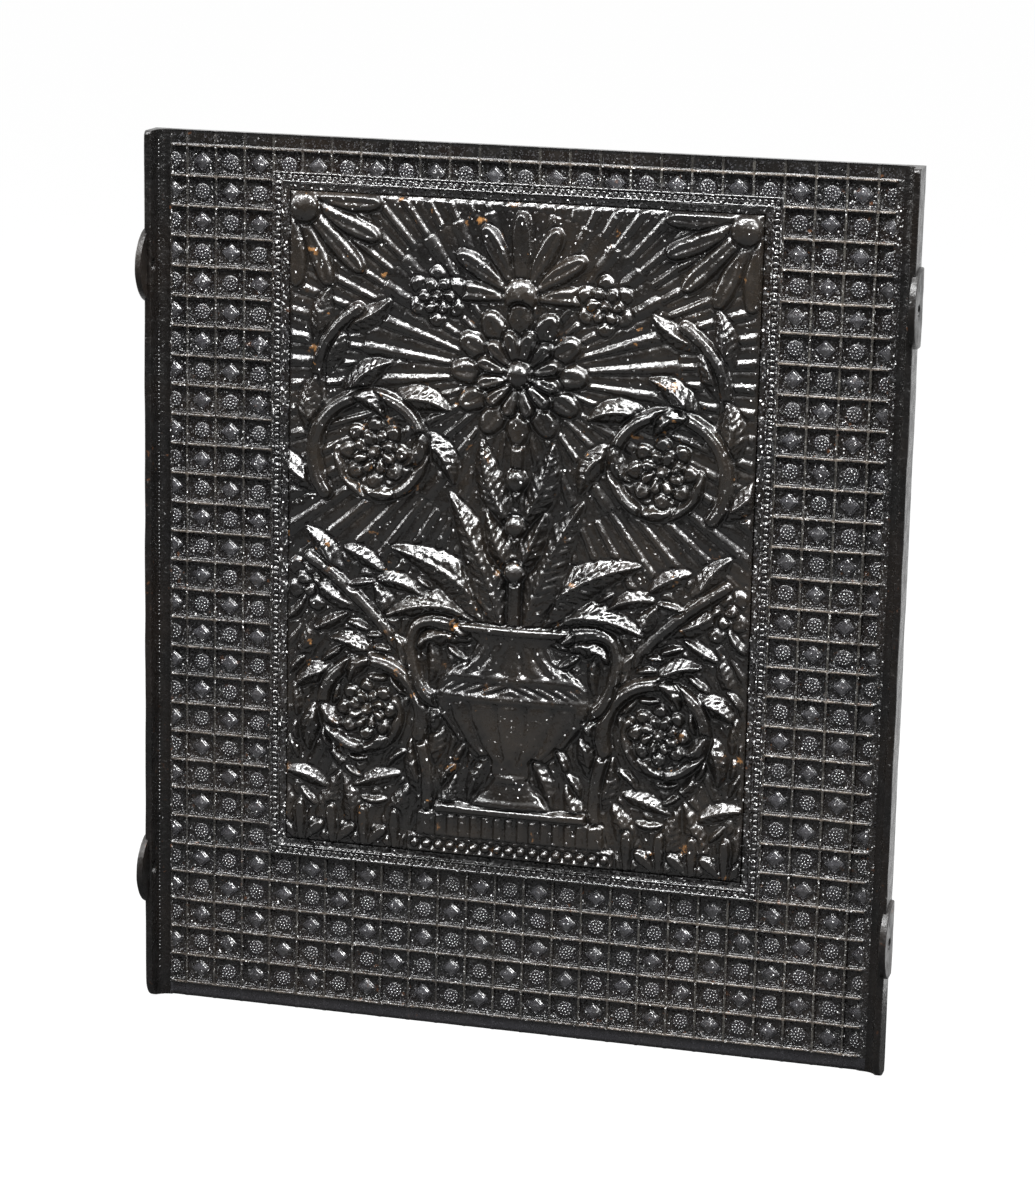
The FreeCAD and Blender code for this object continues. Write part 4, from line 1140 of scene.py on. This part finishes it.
def rivets(material):
    """Sunk rivets, their slightly domed heads flush with the lugs."""
    parts = []
    for middle, low, high in solid_boxes("lug_rivets"):
        length = high[0] - low[0]
        points, quads = turned(((0.0, 0.02), (0.0, SHANK), (length - RIVET_SINK, SHANK),
                                (length - 0.25, RIVET_HEAD - 0.1), (length - 0.08, RIVET_HEAD - 0.5),
                                (length, RIVET_HEAD * 0.5), (length, 0.02)))
        side = math.copysign(1.0, middle[0])
        start = low[0] if side > 0 else high[0]
        parts.append((points * (side, side, 1.0) + (start, middle[1], middle[2]), quads))
    points, quads = joined(parts)
    mesh_piece("round_rivets", points, [quads], material, "lug_rivets")


def screws(material):
    """Countersunk screws with slotted heads flush with the back."""
    parts = []
    caps = []
    steps = 13
    for middle, low, high in solid_boxes("frame_screws"):
        length = high[1] - low[1]
        under = SCREW_HEAD - SLOT_DEPTH * (SCREW_HEAD - SHANK) / SCREW_SINK
        place = (middle[0], low[1], middle[2])
        points, faces = turned(((0.0, 0.02), (0.0, SHANK), (length - SCREW_SINK, SHANK),
                                (length - SLOT_DEPTH, under), (length - SLOT_DEPTH, 0.02)))
        parts.append((points[:, [1, 0, 2]] + place, faces[:, ::-1]))
        for side in (-1, 1):
            rings = []
            for along, radius in ((length - SLOT_DEPTH, under), (length, SCREW_HEAD)):
                lean = math.asin(SLOT_HALF / radius)
                angles = np.linspace(lean, math.pi - lean, steps)
                rings.append(np.column_stack([radius * np.cos(angles), np.full(steps, along),
                                              side * radius * np.sin(angles)]))
            parts.append((np.concatenate(rings) + place, grid_quads(2, steps, closed=True)[:, ::side]))
            top = sum(len(points) for points, faces in parts) - steps
            caps.append(top + np.arange(steps)[::-side])
    points, quads = joined(parts)
    mesh_piece("round_screws", points, [quads] + caps, material, "frame_screws",
               smooth=False)


# ---- stage: floor, light and camera; its lengths are metres ----
PHOTO_HEIGHT = 1191
FOCAL_PIXELS = 3625.8
CAMERA_PLACE = Vector((0.6897, -2.6258, 0.9931))
CAMERA_TARGET = Vector((-0.0009, 0.013, 0.356))
CAMERA_ROLL = math.radians(1.248)
FLOOR_HALF = 30.0
BEHIND_Y = 0.2              # the floor is mirrored white from here on
FLOOR_GREY = (0.065, 0.065, 0.065, 1)
WHITE = (1, 1, 1, 1)
LIT_PLACE = Vector((0.0, 0.0, 0.35))
SOFTBOXES = (               # name, place, width, height, power
    ("overhead", (0.15, -0.75, 2.7), 2.4, 0.7, 140.0),
    ("front_left", (-1.5, -1.7, 2.5), 0.5, 0.5, 22.0),
    ("side_left", (-2.3, -0.1, 1.5), 0.9, 0.9, 45.0),
    ("upper_right", (1.65, -0.85, 2.0), 0.7, 0.7, 32.0))


def camera():
    data = bpy.data.cameras.new("photo_camera")
    data.sensor_width = 36.0
    data.lens = data.sensor_width * FOCAL_PIXELS / PHOTO_HEIGHT
    data.clip_start = 0.05
    data.clip_end = 60.0
    ahead = (CAMERA_TARGET - CAMERA_PLACE).normalized()
    level = ahead.cross(Vector((0, 0, 1))).normalized()
    above = level.cross(ahead)
    right = level * math.cos(CAMERA_ROLL) + above * math.sin(CAMERA_ROLL)
    up = right.cross(ahead)
    turn = Matrix((right, up, -ahead)).transposed().to_4x4()
    eye = bpy.data.objects.new("photo_camera", data)
    eye.matrix_world = Matrix.Translation(CAMERA_PLACE) @ turn
    bpy.context.scene.collection.objects.link(eye)
    bpy.context.scene.camera = eye


def backdrop_rays(n, behind):
    """1 on rays that see the white backdrop: the camera's, those through glass, those mirrored behind."""
    path = n.add("ShaderNodeLightPath").outputs
    seen = n.math("MAXIMUM", path["Is Camera Ray"], path["Is Transmission Ray"])
    return n.math("MAXIMUM", seen, n.times(path["Is Glossy Ray"], behind))


def world():
    """White where it is seen, and soft studio light: bright above and behind, dim toward the viewer."""
    studio = bpy.data.worlds.new("studio")
    bpy.context.scene.world = studio
    n = Nodes(studio, "ShaderNodeOutputWorld")
    direction = n.coordinates["Generated"]
    lean = n.add("ShaderNodeVectorMath", direction, (0.1, 0.25, 0.96), operation="DOT_PRODUCT")
    shade = n.add("ShaderNodeMapRange", lean.outputs["Value"], 0.0, 0.65, 0.05, 1.0)
    light = n.add("ShaderNodeBackground", shade.outputs["Result"], 0.95)
    white = n.add("ShaderNodeBackground", WHITE, 1.0)
    seen = backdrop_rays(n, n.add("ShaderNodeSeparateXYZ", direction).outputs["Y"])
    n.put(n.add("ShaderNodeMixShader", seen, light.outputs[0], white.outputs[0]).outputs[0], n.surface)


def floor():
    """Pale floor, white where it is seen and where it is mirrored from behind, that keeps the shadow."""
    mesh = bpy.data.meshes.new("floor")
    corners = [(x * FLOOR_HALF, y * FLOOR_HALF, 0) for x, y in ((-1, -1), (1, -1), (1, 1), (-1, 1))]
    mesh.from_pydata(corners, [], [(0, 1, 2, 3)])
    piece = bpy.data.objects.new("floor", mesh)
    bpy.context.scene.collection.objects.link(piece)
    n = Nodes(bpy.data.materials.new("pale_floor"), "ShaderNodeOutputMaterial")
    behind = n.math("GREATER_THAN", n.add("ShaderNodeSeparateXYZ", n.place).outputs["Y"], BEHIND_Y)
    shader = n.add("ShaderNodeBsdfPrincipled")
    for name, value in (("Base Color", FLOOR_GREY), ("Roughness", 0.95), ("Specular IOR Level", 0.0),
                        ("Emission Color", WHITE),
                        ("Emission Strength", n.times(backdrop_rays(n, behind), 0.94))):
        n.put(value, shader.inputs[name])
    n.put(shader.outputs[0], n.surface)
    mesh.materials.append(n.owner)


def softbox(name, place, width, height, power):
    data = bpy.data.lights.new(name, "AREA")
    data.shape = "RECTANGLE"
    data.size = width
    data.size_y = height
    data.energy = power
    lamp = bpy.data.objects.new(name, data)
    lamp.location = place
    lamp.rotation_mode = "QUATERNION"
    lamp.rotation_quaternion = (LIT_PLACE - Vector(place)).to_track_quat("-Z", "Y")
    bpy.context.scene.collection.objects.link(lamp)


def build():
    lattice_iron = iron("lattice_iron", gloss=0.2, grain=0.7, grain_size=0.95, worn=0.9)
    rosette_iron = iron("rosette_iron", burnish_and_sheen=0.5, rust=0.2, painted_glints=0.2, gloss=0.18, ior=2.2, grain=0.35,
                        grain_size=0.85, lively=0.25)
    diamond_iron = iron("diamond_iron", burnish_and_sheen=0.6, rust=0.3, gloss=0.2, ior=2.2, grain=0.4,
                        grain_size=0.8, lively=0.3)
    grain_iron = iron("grain_iron", burnish_and_sheen=0.6, rust=0.1, painted_glints=0.4, gloss=0.16, ior=2.4, grain=0.3)
    flange_iron = iron("flange_iron", rust=0.4, painted_glints=0.04, gloss=0.25, ior=1.55, grain=0.2, lively=0.03,
                       swell=1.1, crust=0.4, stain=FLANGE_BROWN)
    frame_iron = iron("frame_iron", rust=0.4, gloss=0.2, ior=2.2, grain=0.8)
    panel_iron = iron("panel_iron", rust=0.8, painted_glints=0.03, gloss=0.17, ior=2.0, grain=0.4, lively=0.08,
                      crust=0.3, base=PANEL_BLACK, stain=PANEL_BROWN, spot=OCHRE, spot_size=13.0)
    lug_iron = iron("lug_iron", rust=0.8, painted_glints=0.08, gloss=0.36, ior=1.5, grain=0.3, lively=0.06,
                    crust=0.4)
    lattice_face(lattice_iron)
    studs(rosette_iron, diamond_iron)
    rib_grain(grain_iron)
    cove_beads(grain_iron)
    plate_shell(flange_iron)
    bead_frame(frame_iron)
    pearls(frame_iron)
    relief_panel(panel_iron)
    for node in LUGS:
        lug(node, -1 if "left" in node else 1, lug_iron)
    rivets(lug_iron)
    screws(lug_iron)


build()
floor()
world()
for box in SOFTBOXES:
    softbox(*box)
camera()
bpy.context.scene.view_settings.view_transform = "Standard"
